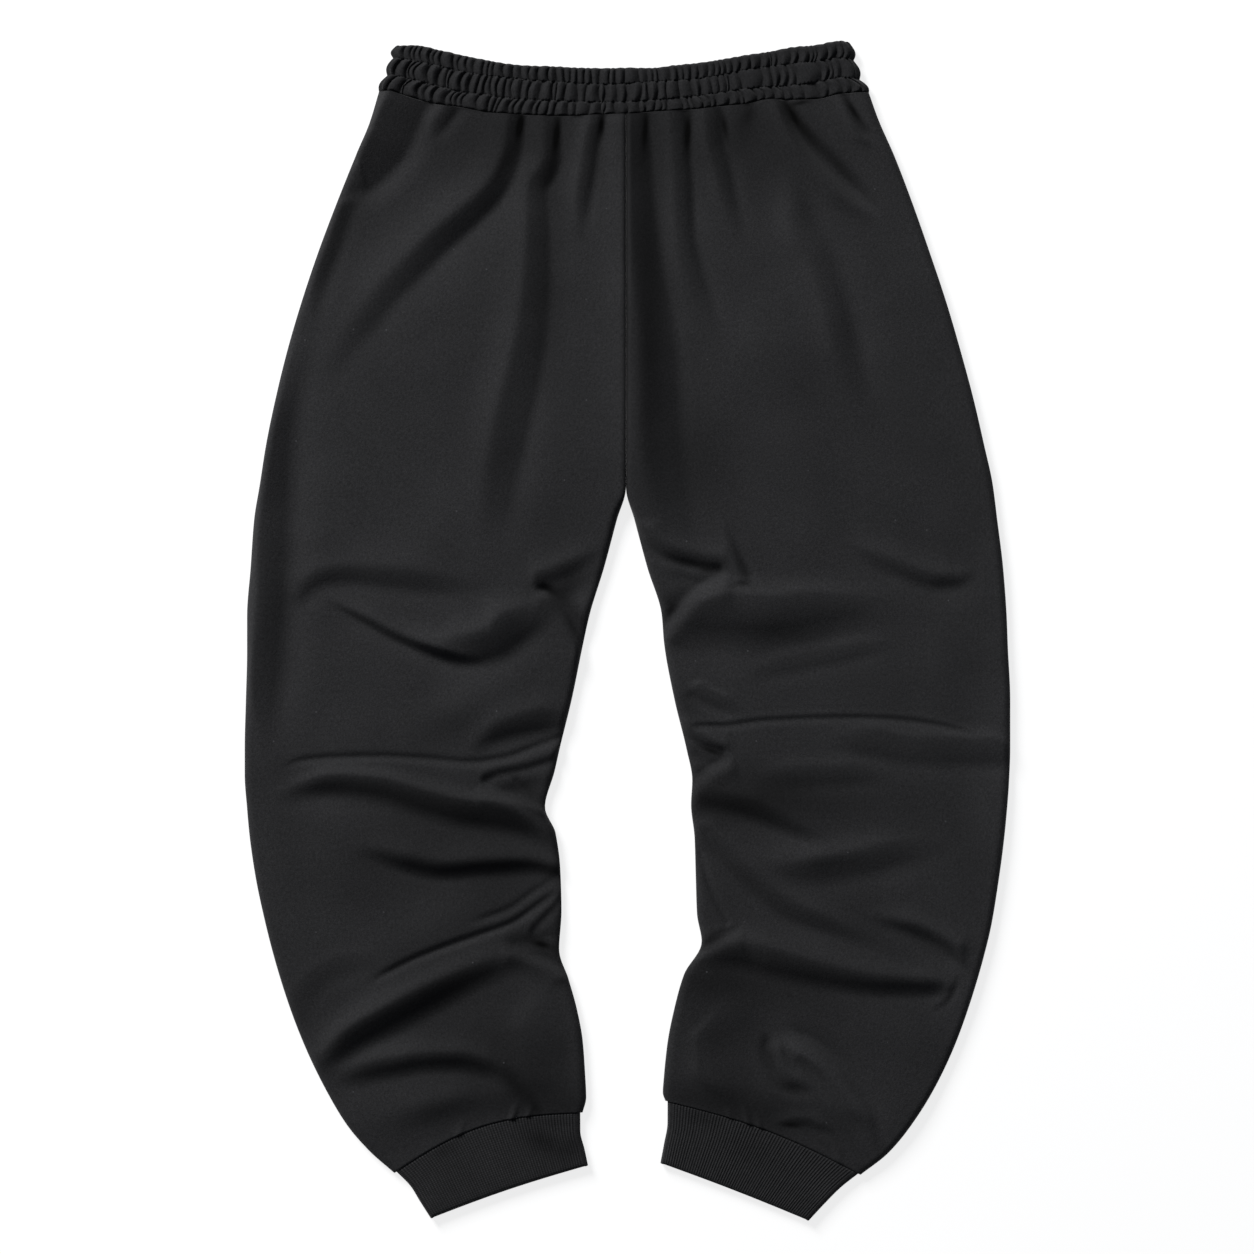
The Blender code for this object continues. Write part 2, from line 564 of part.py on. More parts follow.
    def upper(self, u, v, inside):
        """Points of the upper panel: its outside, or its inside a wall's thickness below."""
        fall, inward = self.edge_turn(u, v)
        place = self.plan(u, v)
        height = self.face_height(place, u, v)
        rim = SEAM_HEIGHT + SEAM_GAP / 2
        if inside:
            height = np.maximum(height - self.wall_at(place, u, v, height), FLOOR_CLEARANCE)
            place = self.plan(u + inward, v)
        return np.column_stack([place, rim + (height - rim) * fall])

    def wall_at(self, place, u, v, height):
        """The wall measured straight down, thicker where the cloth is steep."""
        step = 2.0
        slope_x = self.face_height(place + np.array([step, 0.0]), u, v) - height
        slope_y = self.face_height(place + np.array([0.0, step]), u, v) - height
        steepness = np.sqrt(1.0 + (slope_x / step) ** 2 + (slope_y / step) ** 2)
        return WALL * np.minimum(steepness, STEEPEST_WALL)

    def lower(self, u, v, inside):
        """Points of the lower panel: its underside on the floor, or its inside above."""
        fall, inward = self.edge_turn(u, v)
        rim = SEAM_HEIGHT - SEAM_GAP / 2
        level = WALL if inside else 0.0
        place = self.plan(u + inward, v) if inside else self.plan(u, v)
        return np.column_stack([place, rim + (level - rim) * fall])


def graded_columns(count):
    """Shares across a leg, close together where the edges roll over."""
    edge = [column / TYPICAL_WIDTH for column in EDGE_COLUMNS]
    middle = np.linspace(edge[-1], 1.0 - edge[-1], count + 1)
    return [0.0, *edge[:-1], *middle, *(1.0 - share for share in reversed(edge[:-1])), 1.0]


def layer_values(mesh, u_layer, v_layer):
    u = np.array([vert[u_layer] for vert in mesh.verts])
    v = np.array([vert[v_layer] for vert in mesh.verts])
    return u, v


def split_bent_edges(mesh, u_layer, v_layer, surface, tolerance):
    """Splits the edges that stray from the surface in their middle, and says how many."""
    edges = list(mesh.edges)
    ends = np.array(
        [[(vert[u_layer], vert[v_layer]) for vert in edge.verts] for edge in edges]
    )
    start = surface(ends[:, 0, 0], ends[:, 0, 1], False)
    end = surface(ends[:, 1, 0], ends[:, 1, 1], False)
    middle = ends.mean(axis=1)
    bent = np.linalg.norm(surface(middle[:, 0], middle[:, 1], False) - (start + end) / 2, axis=1)
    long_enough = np.linalg.norm(end - start, axis=1) > SHORTEST_EDGE
    level = ends[:, :, 1]
    on_seam = (level[:, 0] == level[:, 1]) & ((level[:, 0] == 0.0) | (level[:, 0] == 1.0))
    allowed = np.where(on_seam, SEAM_TOLERANCE, tolerance)
    chosen = [edges[index] for index in np.flatnonzero((bent > allowed) & long_enough)]
    if chosen:
        bmesh.ops.subdivide_edges(mesh, edges=chosen, cuts=1, use_grid_fill=True)
        crowded = [face for face in mesh.faces if len(face.verts) > 4]
        bmesh.ops.triangulate(mesh, faces=crowded)
    return len(chosen)


def panel(name, surface, columns, rows, tolerance, colour):
    """A leg panel: a grid laid on the plan, refined at its folds and given its wall."""
    mesh = bmesh.new()
    shares = graded_columns(columns)
    bmesh.ops.create_grid(mesh, x_segments=len(shares) - 1, y_segments=rows, size=1.0)
    u_layer = mesh.verts.layers.float.new("u")
    v_layer = mesh.verts.layers.float.new("v")
    for vert in mesh.verts:
        vert[u_layer] = shares[round((vert.co.x + 1.0) / 2.0 * (len(shares) - 1))]
        vert[v_layer] = (vert.co.y + 1.0) / 2.0
        vert.co = (vert[u_layer], vert[v_layer], 0.0)
    for _ in range(REFINING_ROUNDS):
        split_bent_edges(mesh, u_layer, v_layer, surface, tolerance)
    outside = surface(*layer_values(mesh, u_layer, v_layer), False)
    for vert, point in zip(mesh.verts, outside):
        vert.co = point * MM
    bmesh.ops.triangulate(mesh, faces=mesh.faces[:], quad_method="SHORT_EDGE")
    made = bmesh.ops.extrude_face_region(mesh, geom=mesh.faces[:])
    copies = [item for item in made["geom"] if isinstance(item, bmesh.types.BMVert)]
    u = np.array([vert[u_layer] for vert in copies])
    v = np.array([vert[v_layer] for vert in copies])
    for vert, point in zip(copies, surface(u, v, True)):
        vert.co = point * MM
    return finish(mesh, name, colour)


class Ring:
    """A tube folded flat: lines across it, and heights over its upper and lower layers."""

    def __init__(self, lower_wall, hollow, face, end):
        self.lower_wall = lower_wall
        self.hollow = hollow
        self.face = face
        self.end = end

    def loop(self, columns, under_columns):
        """Stations round the tube: share across, angle at a folded end, and the layer."""
        stations = [(share, 90.0, "upper") for share in np.linspace(0.0, 1.0, columns + 1)]
        angles = np.linspace(90.0, -90.0, END_STEPS + 1)[1:-1]
        stations += [(1.0, angle, "end") for angle in angles]
        stations += [(share, -90.0, "lower") for share in np.linspace(1.0, 0.0, under_columns + 1)]
        stations += [(0.0, 180.0 - angle, "end") for angle in reversed(angles)]
        return stations + stations[:1]

    def point(self, plan, station, v, inside, relief):
        """One point: the plan's place for its share, rounded at the folded ends."""
        share, angle, layer = station
        left, right = plan(0.0, v), plan(1.0, v)
        width = np.linalg.norm(right - left)
        end = self.end - (min(WALL, self.end * 0.6) if inside else 0.0)
        inset = self.end / width
        reach = end / width * math.cos(math.radians(angle)) if layer == "end" else 0.0
        across = inset + (1.0 - 2.0 * inset) * share + reach
        place = plan(across, v)
        low = self.lower_wall if inside else 0.0
        high = self.lower_wall + self.hollow if inside else self.face
        middle, half = (high + low) / 2, (high - low) / 2
        height = middle + half * math.sin(math.radians(angle))
        if layer == "upper" and not inside:
            height += relief
        return (place[0], place[1], height)


def ring_mesh(name, ring, plan, columns, under_columns, levels, relief, colour):
    """Wraps one grid round the tube and over both rims, so the wall closes on itself."""
    stations = ring.loop(columns, under_columns)
    rims = [(levels[-1], True), (levels[0], True), (levels[0], False)]
    lines = [(level, False) for level in levels] + rims
    mesh = bmesh.new()
    across, down = len(stations) - 1, len(lines) - 1
    bmesh.ops.create_grid(mesh, x_segments=across, y_segments=down, size=1.0)
    for vert in mesh.verts:
        column = round((vert.co.x + 1.0) / 2.0 * across)
        row = round((vert.co.y + 1.0) / 2.0 * down)
        level, inside = lines[row]
        raised = relief(column % across, row) if row < len(levels) or row == down else 0.0
        vert.co = [value * MM for value in ring.point(plan, stations[column], level, inside, raised)]
    bmesh.ops.remove_doubles(mesh, verts=mesh.verts[:], dist=1e-6)
    return finish(mesh, name, colour)


def band_line_y(line, x):
    return line.lowest_y + line.end_rise * ((x - line.lowest_x) / WAIST_HALF_WIDTH) ** 2


def band_plan(share, level):
    """A place on the waistband: level 0 is the open edge, and 3 is the waist seam."""
    line = min(int(level), len(BAND_LINES) - 2)
    t = level - line
    upper, lower = BAND_LINES[line], BAND_LINES[line + 1]
    bulge = BAND_EDGE_BULGE * math.sin(math.pi * t)
    left = upper.left_x + (lower.left_x - upper.left_x) * t - bulge
    right = upper.right_x + (lower.right_x - upper.right_x) * t + bulge
    x = left + (right - left) * share
    upper_y = band_line_y(upper, x)
    lower_y = band_line_y(lower, x)
    gap = SEAM_GAP / 2 * level / (len(BAND_LINES) - 1)
    return np.array([x, upper_y + (lower_y - upper_y) * t + gap])


def band_relief(column, row):
    """Puffs: full crests between lines of stitching, with a furrow between neighbours."""
    if column > 2 * TOP_PUFFS:
        return 0.0
    band_row = (row % (3 * PUFF_STEPS)) // PUFF_STEPS
    swell = math.sin(math.pi * (row % PUFF_STEPS) / PUFF_STEPS)
    if band_row == 0:
        crest = 1.0 if column % 2 else 0.15
    else:
        crest = 0.15 if column % 3 == 0 else 1.0
    ends = min(1.0, column / 4.0, (2 * TOP_PUFFS - column) / 4.0)
    return BAND_PUFF * swell * crest * ends


def waistband():
    ring = Ring(BAND_LOWER_WALL, BAND_HOLLOW, BAND_FACE, BAND_END)
    levels = [step / PUFF_STEPS for step in range(3 * PUFF_STEPS + 1)]
    return ring_mesh(
        "waistband", ring, band_plan, 2 * TOP_PUFFS, BAND_UNDER_COLUMNS, levels, band_relief,
        BAND_COLOUR,
    )


def cuff(name, leg, lines):
    """A ribbed cuff whose first line is the leg's cuff seam."""

    def plan(share, level):
        seam_share = CUFF_TRIM + (1.0 - 2.0 * CUFF_TRIM) * share
        seam = leg.cuff_seam(np.array([seam_share]))[0] - np.array([0.0, SEAM_GAP])
        below = [
            bowed_line((line.inner_x, line.inner_y), (line.outer_x, line.outer_y), line.bow, share)
            for line in lines
        ]
        knots = np.linspace(0.0, 1.0, len(lines) + 1)
        return Curve([seam, *below], knots).at(np.array([level]))[0]

    def relief(column, row):
        if column > 2 * RIBS:
            return 0.0
        ends = min(1.0, column / 4.0, (2 * RIBS - column) / 4.0)
        return CUFF_RIB * ends * (column % 2)

    ring = Ring(CUFF_LOWER_WALL, CUFF_HOLLOW, CUFF_FACE, CUFF_END)
    levels = list(np.linspace(0.0, 1.0, CUFF_ROWS + 1))
    return ring_mesh(
        name, ring, plan, 2 * RIBS, CUFF_UNDER_COLUMNS, levels, relief, RIB_COLOUR
    )


def linear(channel):
    return channel / 12.92 if channel <= 0.04045 else ((channel + 0.055) / 1.055) ** 2.4


def cloth_material(name, colour):
    material = bpy.data.materials.new(name)
    material.use_nodes = True
    shader = material.node_tree.nodes["Principled BSDF"]
    parts = [linear(int(colour[at:at + 2], 16) / 255) for at in (0, 2, 4)]
    shader.inputs["Base Color"].default_value = (*parts, 1.0)
    shader.inputs["Roughness"].default_value = 0.95
    shader.inputs["Metallic"].default_value = 0.0
    material.diffuse_color = (*parts, 1.0)
    return material


def finish(mesh, name, colour):
    """Turns the faces outwards and puts the mesh in the scene with its own material."""
    bmesh.ops.triangulate(mesh, faces=mesh.faces[:], quad_method="SHORT_EDGE")
    bmesh.ops.recalc_face_normals(mesh, faces=mesh.faces[:])
    data = bpy.data.meshes.new(name)
    mesh.to_mesh(data)
    mesh.free()
    data.shade_smooth()
    data.set_sharp_from_angle(angle=math.radians(50))
    data.materials.append(cloth_material(name + "_cloth", colour))
    piece = bpy.data.objects.new(name, data)
    bpy.context.scene.collection.objects.link(piece)
    return piece


def build():
    for piece in list(bpy.data.objects):
        bpy.data.objects.remove(piece)
    left_folds, right_folds = SHARED_FOLDS + LEFT_FOLDS, SHARED_FOLDS + RIGHT_FOLDS
    left = Leg(LEFT_LEG_ROWS, left_folds, LEFT_MOUNDS, LEFT_TUCKS, LEFT_CUFF_BOW, -1)
    right = Leg(RIGHT_LEG_ROWS, right_folds, RIGHT_MOUNDS, RIGHT_TUCKS, RIGHT_CUFF_BOW, 1)
    for side, leg in (("left", left), ("right", right)):
        panel("back_" + side, leg.upper, UPPER_COLUMNS, UPPER_ROWS, UPPER_TOLERANCE, FLEECE_COLOUR)
        panel("front_" + side, leg.lower, LOWER_COLUMNS, LOWER_ROWS, LOWER_TOLERANCE, FLEECE_COLOUR)
    waistband()
    cuff("cuff_left", left, LEFT_CUFF_LINES)
    cuff("cuff_right", right, RIGHT_CUFF_LINES)


build()
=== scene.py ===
"""Looks of a pair of jogger sweatpants, laid flat on their front and seen from the back.

Blender 4.5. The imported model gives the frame, and each piece of cloth made here stands for one of
its nodes with a finer form: the waist points to +Y and the cloth lies on z = 0. Sizes are in
millimetres, and they become metres where a mesh or a node tree is written. Only the cuts of the
cloth are in metres.
"""

import logging
import math
from dataclasses import dataclass
from enum import Enum

import bmesh
import bpy
import numpy as np
from mathutils import Matrix, Vector


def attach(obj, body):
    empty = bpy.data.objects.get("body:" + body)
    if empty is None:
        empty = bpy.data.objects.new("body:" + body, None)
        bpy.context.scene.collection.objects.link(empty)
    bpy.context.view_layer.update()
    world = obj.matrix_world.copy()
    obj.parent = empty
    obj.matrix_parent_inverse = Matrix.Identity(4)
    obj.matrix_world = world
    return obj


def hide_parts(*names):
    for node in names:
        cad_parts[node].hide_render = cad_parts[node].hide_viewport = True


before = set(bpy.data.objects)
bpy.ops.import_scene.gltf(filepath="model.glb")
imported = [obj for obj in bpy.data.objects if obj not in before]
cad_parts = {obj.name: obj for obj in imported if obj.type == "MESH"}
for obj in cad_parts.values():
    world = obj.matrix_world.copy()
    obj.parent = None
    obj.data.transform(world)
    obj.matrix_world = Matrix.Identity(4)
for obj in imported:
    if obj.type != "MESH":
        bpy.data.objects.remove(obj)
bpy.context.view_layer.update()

log = logging.getLogger("joggers")

Array = np.ndarray
Mesh = bmesh.types.BMesh
Tree = bpy.types.NodeTree
Socket = bpy.types.NodeSocket
Pair = tuple[float, float]
Route = tuple[Pair, ...]

MM = 0.001
ACROSS = "across"
ALONG = "along"
# The vertex values that hold painted shade and light
PAINTED_SHADE = "nap"

# Cuts of the cloth in metres, with the net area in square metres where the edges curve
LEG_CUT = (0.34, 0.94)
BACK_LEG_AREA = 0.25
FRONT_LEG_AREA = 0.24
BAND_CUT = (1.0, 0.042)
CUFF_CUT = (0.32, 0.056)

# How thick the cloth is and how its panels lie
WALL = 2.0
SEAM_GAP = 0.02
SEAM_HEIGHT = 4.0
FLOOR_CLEARANCE = 2.35
BODY_HEIGHT = 9.5
LOWEST_OUTSIDE = 4.5
HIGHEST_FOLD = 28.0

# How folds and mounds rise and fall
TAPERED_SHARE = 0.45
NARROW_POWER = 0.5
ROUTE_STEP = 4.0
LEAST_ROUTE_POINTS = 3
BACK_DECAY = 4.5
MOUND_FALL = 2.0

# The tubes: where a grid closes, the waistband's puffs and the cuffs' ribs
SAME_PLACE = 0.001
LEAST_FURROW_STEP = 0.001
SHORT_OF_END = 1e-9
PUFF_FULLNESS = 2.1
PINCHED_FULLNESS = 1.5
SPLAY_REACH = 30.0
RIB_PITCH = 3.0
CUFF_SEED = 7

# Places that several pieces share
CENTRE_X = -1.3
CROTCH_Y = 122.0
INSEAM_BLEND = 24.0
CROWN_BLEND = 160.0
HIP_HALF_WIDTH = 315.0


class Side(Enum):
    """The leg that a piece belongs to, as the picture shows it."""

    LEFT = -1
    RIGHT = 1


class Slot(Enum):
    """The record's material slots."""

    FLEECE = "fleece"
    WAISTBAND = "waistband_fleece"
    RIB = "rib_knit"


class Layer(Enum):
    """The layers of a tube that lies flat."""

    UPPER = 0
    END = 1
    LOWER = 2


def smooth_step(value: Array) -> Array:
    """A soft ramp from 0 to 1."""
    value = np.clip(value, 0.0, 1.0)
    return value * value * (3.0 - 2.0 * value)


def held_between(height: Array, lowest: float, highest: float) -> Array:
    """Heights that level off softly, within a millimetre or so, at a lowest and a highest one."""
    raised = np.logaddexp(0.0, height - lowest) + lowest
    return highest - np.logaddexp(0.0, highest - raised)


def eased_steps(step: Array, easing: float) -> Array:
    """Steps from 0 to 1 that stand closer together at both ends, by a share of easing."""
    return (1.0 - easing) * step + easing * (0.5 - 0.5 * np.cos(math.pi * step))


def quarter_turn(distance: Array, radius: float) -> Array:
    """How far cloth has come up, from 0 to 1, at a distance from the edge that it turns down over."""
    return np.sqrt(1.0 - np.clip(1.0 - distance / radius, 0.0, 1.0) ** 2)


class Curve:
    """A smooth curve through points, which never swings past them, read by its knots."""

    def __init__(self, points: object, knots: object = None) -> None:
        """Keeps the points with a slope at each.

        Args:
            points: One row of values for each knot.
            knots: Rising values, or None for the share of the way along the points.
        """
        self.points = np.array(points, float)
        if knots is None:
            steps = np.linalg.norm(np.diff(self.points, axis=0), axis=1)
            knots = np.concatenate([[0.0], np.cumsum(steps)]) / steps.sum()
        self.knots = np.array(knots, float)
        secants = np.diff(self.points, axis=0) / np.diff(self.knots)[:, None]
        product = secants[:-1] * secants[1:]
        total = np.where(product > 0, secants[:-1] + secants[1:], 1.0)
        inside = np.where(product > 0, 2 * product / total, 0.0)
        self.slopes = np.concatenate([secants[:1], inside, secants[-1:]])

    def at(self, knot: Array) -> Array:
        """The curve's points at these knot values."""
        knot = np.clip(np.asarray(knot, float), self.knots[0], self.knots[-1])
        index = np.searchsorted(self.knots, knot, side="right") - 1
        index = np.clip(index, 0, len(self.knots) - 2)
        step = self.knots[index + 1] - self.knots[index]
        t = ((knot - self.knots[index]) / step)[..., None]
        step = step[..., None]
        start, end = self.points[index], self.points[index + 1]
        leave, arrive = self.slopes[index] * step, self.slopes[index + 1] * step
        return (
            start * (2 * t**3 - 3 * t**2 + 1)
            + leave * (t**3 - 2 * t**2 + t)
            + end * (3 * t**2 - 2 * t**3)
            + arrive * (t**3 - t**2)
        )


@dataclass(frozen=True)
class Fold:
    """A fold in the cloth, whose ridge lies on the left of its route.

    The route runs along the foot of the fold's dark flank. From there the flank climbs to the
    crest, and the back falls softly to the level cloth behind it.

    Attributes:
        rise: How high the crest stands over the level cloth.
        dip: How deep the foot lies under it.
        flank: The width of the flank where the route starts.
        back: The width of the back.
        foot: How far the dip reaches on the other side of the route.
        fade_in: The way that the fold takes to come up from the start of its route.
        fade_out: The way that it takes to die away before the end.
        route: The points of the route.
        flank_end: The flank's width where the route ends, or 0 where it stays the same.
        soft: How widely the bends at the foot and at the crest are rounded.
        bow: How much the flank sags: 0 is straight, and 1 is level at the crest.
        soft_end: How widely the bends are rounded at the end, or 0 where that stays the same.
    """

    rise: float
    dip: float
    flank: float
    back: float
    foot: float
    fade_in: float
    fade_out: float
    route: Route
    flank_end: float = 0.0
    soft: float = 3.0
    bow: float = 0.6
    soft_end: float = 0.0

    def lift(self, places: Array, height: Array) -> None:
        """Adds the fold to the heights.

        Args:
            places: Plan points of the cloth.
            height: Their heights, which are changed.
        """
        length = np.linalg.norm(np.diff(np.array(self.route), axis=0), axis=1).sum()
        count = max(LEAST_ROUTE_POINTS, math.ceil(length / ROUTE_STEP) + 1)
        line = Curve(self.route).at(np.linspace(0.0, 1.0, count))
        flank_end = self.flank_end or self.flank
        soft_end = self.soft_end or self.soft
        reach = max(max(self.flank, flank_end) + self.back, self.foot) + self.soft
        inside = (places > line.min(axis=0) - reach) & (places < line.max(axis=0) + reach)
        near = np.flatnonzero(inside.all(axis=1))
        if not len(near):
            return
        away, along, total = distance_to_line(places[near], line)
        strength = smooth_step(along / self.fade_in)
        strength *= smooth_step((total - along) / self.fade_out)
        flank = self.flank + (flank_end - self.flank) * along / total
        narrowed = (flank / max(self.flank, flank_end)) ** NARROW_POWER
        flank = flank * (TAPERED_SHARE + (1.0 - TAPERED_SHARE) * strength)
        soft = self.soft + (soft_end - self.soft) * along / total
        height[near] += strength * narrowed * self.profile(away, flank, soft)

    def profile(self, away: Array, flank: Array, soft: Array) -> Array:
        """The fold's height across it, at full strength."""
        climb = self.rise + self.dip
        down = np.clip(1.0 - away / flank, 0.0, 1.0)
        flank_side = self.rise - climb * ((1.0 - self.bow) * down + self.bow * down**2)
        past = np.clip((away - flank) / self.back, 0.0, 1.0)
        back_side = self.rise * (1.0 + BACK_DECAY * past) * np.exp(-BACK_DECAY * past)
        back_side *= (1.0 - past**2) ** 2
        foot_side = -self.dip * np.clip(1.0 + away / self.foot, 0.0, 1.0) ** 2
        height = np.where(away < flank, flank_side, back_side)
        height = np.where(away < 0, foot_side, height)
        foot_bend = climb * (1.0 + self.bow) / flank + 2 * self.dip / self.foot
        crest_bend = climb * (1.0 - self.bow) / flank
        height += foot_bend * rounding(away, soft)
        return height - crest_bend * rounding(away - flank, soft)


def rounding(distance: Array, soft: Array) -> Array:
    """What a bend of slope 1 at distance 0 gains when it is rounded over a soft width."""
    return np.clip(soft - np.abs(distance), 0.0, None) ** 2 / (4 * soft)


def distance_to_line(points: Array, line: Array) -> tuple[Array, Array, float]:
    """Measures points against a line of short steps.

    Args:
        points: Plan points.
        line: The points of the line.

    Returns:
        The distance to the line, positive on its left, the way along it, and its length.
    """
    best = np.full(len(points), np.inf)
    signed = np.zeros(len(points))
    along = np.zeros(len(points))
    walked = 0.0
    for start, end in zip(line[:-1], line[1:]):
        step = end - start
        span = float(np.hypot(*step))
        x, y = points[:, 0] - start[0], points[:, 1] - start[1]
        t = np.clip((x * step[0] + y * step[1]) / span**2, 0.0, 1.0)
        distance = np.hypot(x - t * step[0], y - t * step[1])
        nearer = distance < best
        side = np.where(step[0] * y < step[1] * x, -1.0, 1.0)
        best = np.where(nearer, distance, best)
        signed = np.where(nearer, distance * side, signed)
        along = np.where(nearer, walked + t * span, along)
        walked += span
    return signed, along, walked


@dataclass(frozen=True)
class Mound:
    """A soft swelling of the cloth, or a hollow where its height is negative.

    Its length lies along x until it is turned, in degrees. At its length and at its width from its
    middle little of it is left.
    """

    x: float
    y: float
    height: float
    length: float
    width: float
    turn: float = 0.0

    def lift(self, places: Array, height: Array) -> None:
        """Adds the mound to the heights of the places."""
        turn = math.radians(self.turn)
        x, y = places[:, 0] - self.x, places[:, 1] - self.y
        along = (x * math.cos(turn) + y * math.sin(turn)) / self.length
        across = (y * math.cos(turn) - x * math.sin(turn)) / self.width
        height += self.height * np.exp(-MOUND_FALL * (along**2 + across**2))


@dataclass(frozen=True)
class PaintedShadingPatch:
    """A soft patch of painted shade, or of painted light where its shade is positive.

    Its shade is a share of the brightness: -0.5 halves it in the middle of the patch.
    """

    x: float
    y: float
    shade: float
    length: float
    width: float
    turn: float = 0.0

    def lay(self, places: Array, nap: Array) -> None:
        """Adds the patch's painted shade or light to the values at the places."""
        Mound(self.x, self.y, self.shade, self.length, self.width, self.turn).lift(places, nap)


@dataclass(frozen=True)
class Undulation:
    """The slight unevenness of cloth smoothed out by hand, as a few soft waves."""

    seed: int
    height: float = 0.32
    shortest: float = 38.0
    longest: float = 150.0
    waves: int = 26

    def lift(self, places: Array, height: Array) -> None:
        """Adds the waves to the heights of the places."""
        draw = np.random.default_rng(self.seed)
        for share in np.linspace(0.0, 1.0, self.waves):
            wave = self.shortest * (self.longest / self.shortest) ** share
            heading, start = draw.uniform(0.0, 2 * math.pi, 2)
            along = places[:, 0] * math.cos(heading) + places[:, 1] * math.sin(heading)
            size = self.height * (wave / self.longest) * 2.0 / math.sqrt(self.waves)
            height += size * np.cos(2 * math.pi * along / wave + start)


@dataclass(frozen=True)
class Tuck:
    """A small gather where a leg runs into its cuff, at a share of the seam from the inseam."""

    along: float
    reach: float
    rise: float
    width: float


@dataclass(frozen=True)
class LegRow:
    """Where the side seam and the inseam lie at the same place down a leg."""

    outer_x: float
    outer_y: float
    inner_x: float
    inner_y: float


@dataclass(frozen=True)
class CuffLine:
    """A line across a cuff, from the inseam side to the side seam side."""

    inner_x: float
    inner_y: float
    outer_x: float
    outer_y: float
    bow: float


@dataclass(frozen=True)
class BandStation:
    """How high the waistband's four lines lie at one place along it."""

    x: float
    open_edge: float
    upper_stitches: float
    lower_stitches: float
    seam: float


# The waistband's lines from one end to the other
BAND_STATIONS = (
    BandStation(-200, 496.0, 486.0, 471.0, 457.5),
    BandStation(-180, 496.5, 482.5, 466.5, 451.0),
    BandStation(-160, 492.5, 478.5, 461.0, 446.2),
    BandStation(-140, 488.0, 473.5, 456.5, 443.5),
    BandStation(-120, 484.0, 470.5, 454.0, 439.5),
    BandStation(-100, 480.5, 468.3, 451.0, 438.0),
    BandStation(-80, 479.0, 466.2, 449.7, 437.0),
    BandStation(-60, 478.4, 465.0, 449.0, 436.3),
    BandStation(-40, 477.3, 463.6, 448.0, 436.5),
    BandStation(-20, 477.0, 462.9, 447.6, 437.6),
    BandStation(0, 477.3, 463.6, 448.0, 438.0),
    BandStation(20, 477.3, 465.0, 449.5, 440.0),
    BandStation(40, 479.5, 466.0, 451.0, 441.0),
    BandStation(60, 481.5, 467.6, 453.0, 442.3),
    BandStation(80, 484.5, 471.0, 456.0, 444.8),
    BandStation(100, 488.0, 475.0, 459.0, 446.5),
    BandStation(120, 491.0, 478.0, 460.6, 450.5),
    BandStation(140, 494.8, 480.3, 462.0, 450.0),
    BandStation(160, 496.6, 482.4, 464.6, 450.6),
    BandStation(180, 500.2, 485.3, 468.6, 455.0),
    BandStation(195, 497.0, 483.5, 467.5, 456.5),
)
BAND_LINES = Curve(
    [(row.open_edge, row.upper_stitches, row.lower_stitches, row.seam) for row in BAND_STATIONS],
    [row.x for row in BAND_STATIONS],
)
STITCH_LINES = (1, 2)
SEAM_LINE = 3


def waist_seam_y(x: Array) -> Array:
    """How high the waist seam lies at these places along it."""
    return BAND_LINES.at(x)[..., SEAM_LINE]


def bowed_line(start: Array, end: Array, bow: float, share: Array) -> Array:
    """Points on a line that bows towards the waist by the given amount in its middle."""
    start, end = np.asarray(start, float), np.asarray(end, float)
    share = np.asarray(share, float)[..., None]
    across = end - start
    normal = np.array([-across[1], across[0]]) / np.linalg.norm(across)
    if normal[1] < 0:
        normal = -normal
    return start + across * share + normal * bow * np.sin(math.pi * share)


# The legs' long edges, from the waist down
LEFT_LEG_ROWS = (
    LegRow(-211, 457, -1.3, 438),
    LegRow(-219, 431, -1.3, 413),
    LegRow(-232, 400, -1.3, 385),
    LegRow(-248, 360, -1.3, 350),
    LegRow(-263, 320, -1.3, 312),
    LegRow(-277, 278, -1.3, 272),
    LegRow(-289, 237, -1.3, 232),
    LegRow(-299, 196, -1.3, 193),
    LegRow(-307, 157, -1.3, 156),
    LegRow(-312, 125, -1.3, 122),
    LegRow(-317, 94, -9, 94),
    LegRow(-320, 53, -20, 53),
    LegRow(-323, 12, -32, 14),
    LegRow(-323, -18, -38, -13),
    LegRow(-324, -59, -47, -57),
    LegRow(-325, -100, -57, -98),
    LegRow(-325, -122, -62, -120),
    LegRow(-323, -151, -70, -150),
    LegRow(-321, -173, -61, -172),
    LegRow(-316, -208, -57, -203),
    LegRow(-308, -246, -56, -238),
    LegRow(-299, -281, -58, -270),
    LegRow(-286, -322, -50, -296),
    LegRow(-273, -355, -43, -321),
    LegRow(-256, -390, -38, -348),
    LegRow(-238, -420, -36, -375),
    LegRow(-219, -442, -35, -396),
    LegRow(-198, -460.5, -38, -409),
)
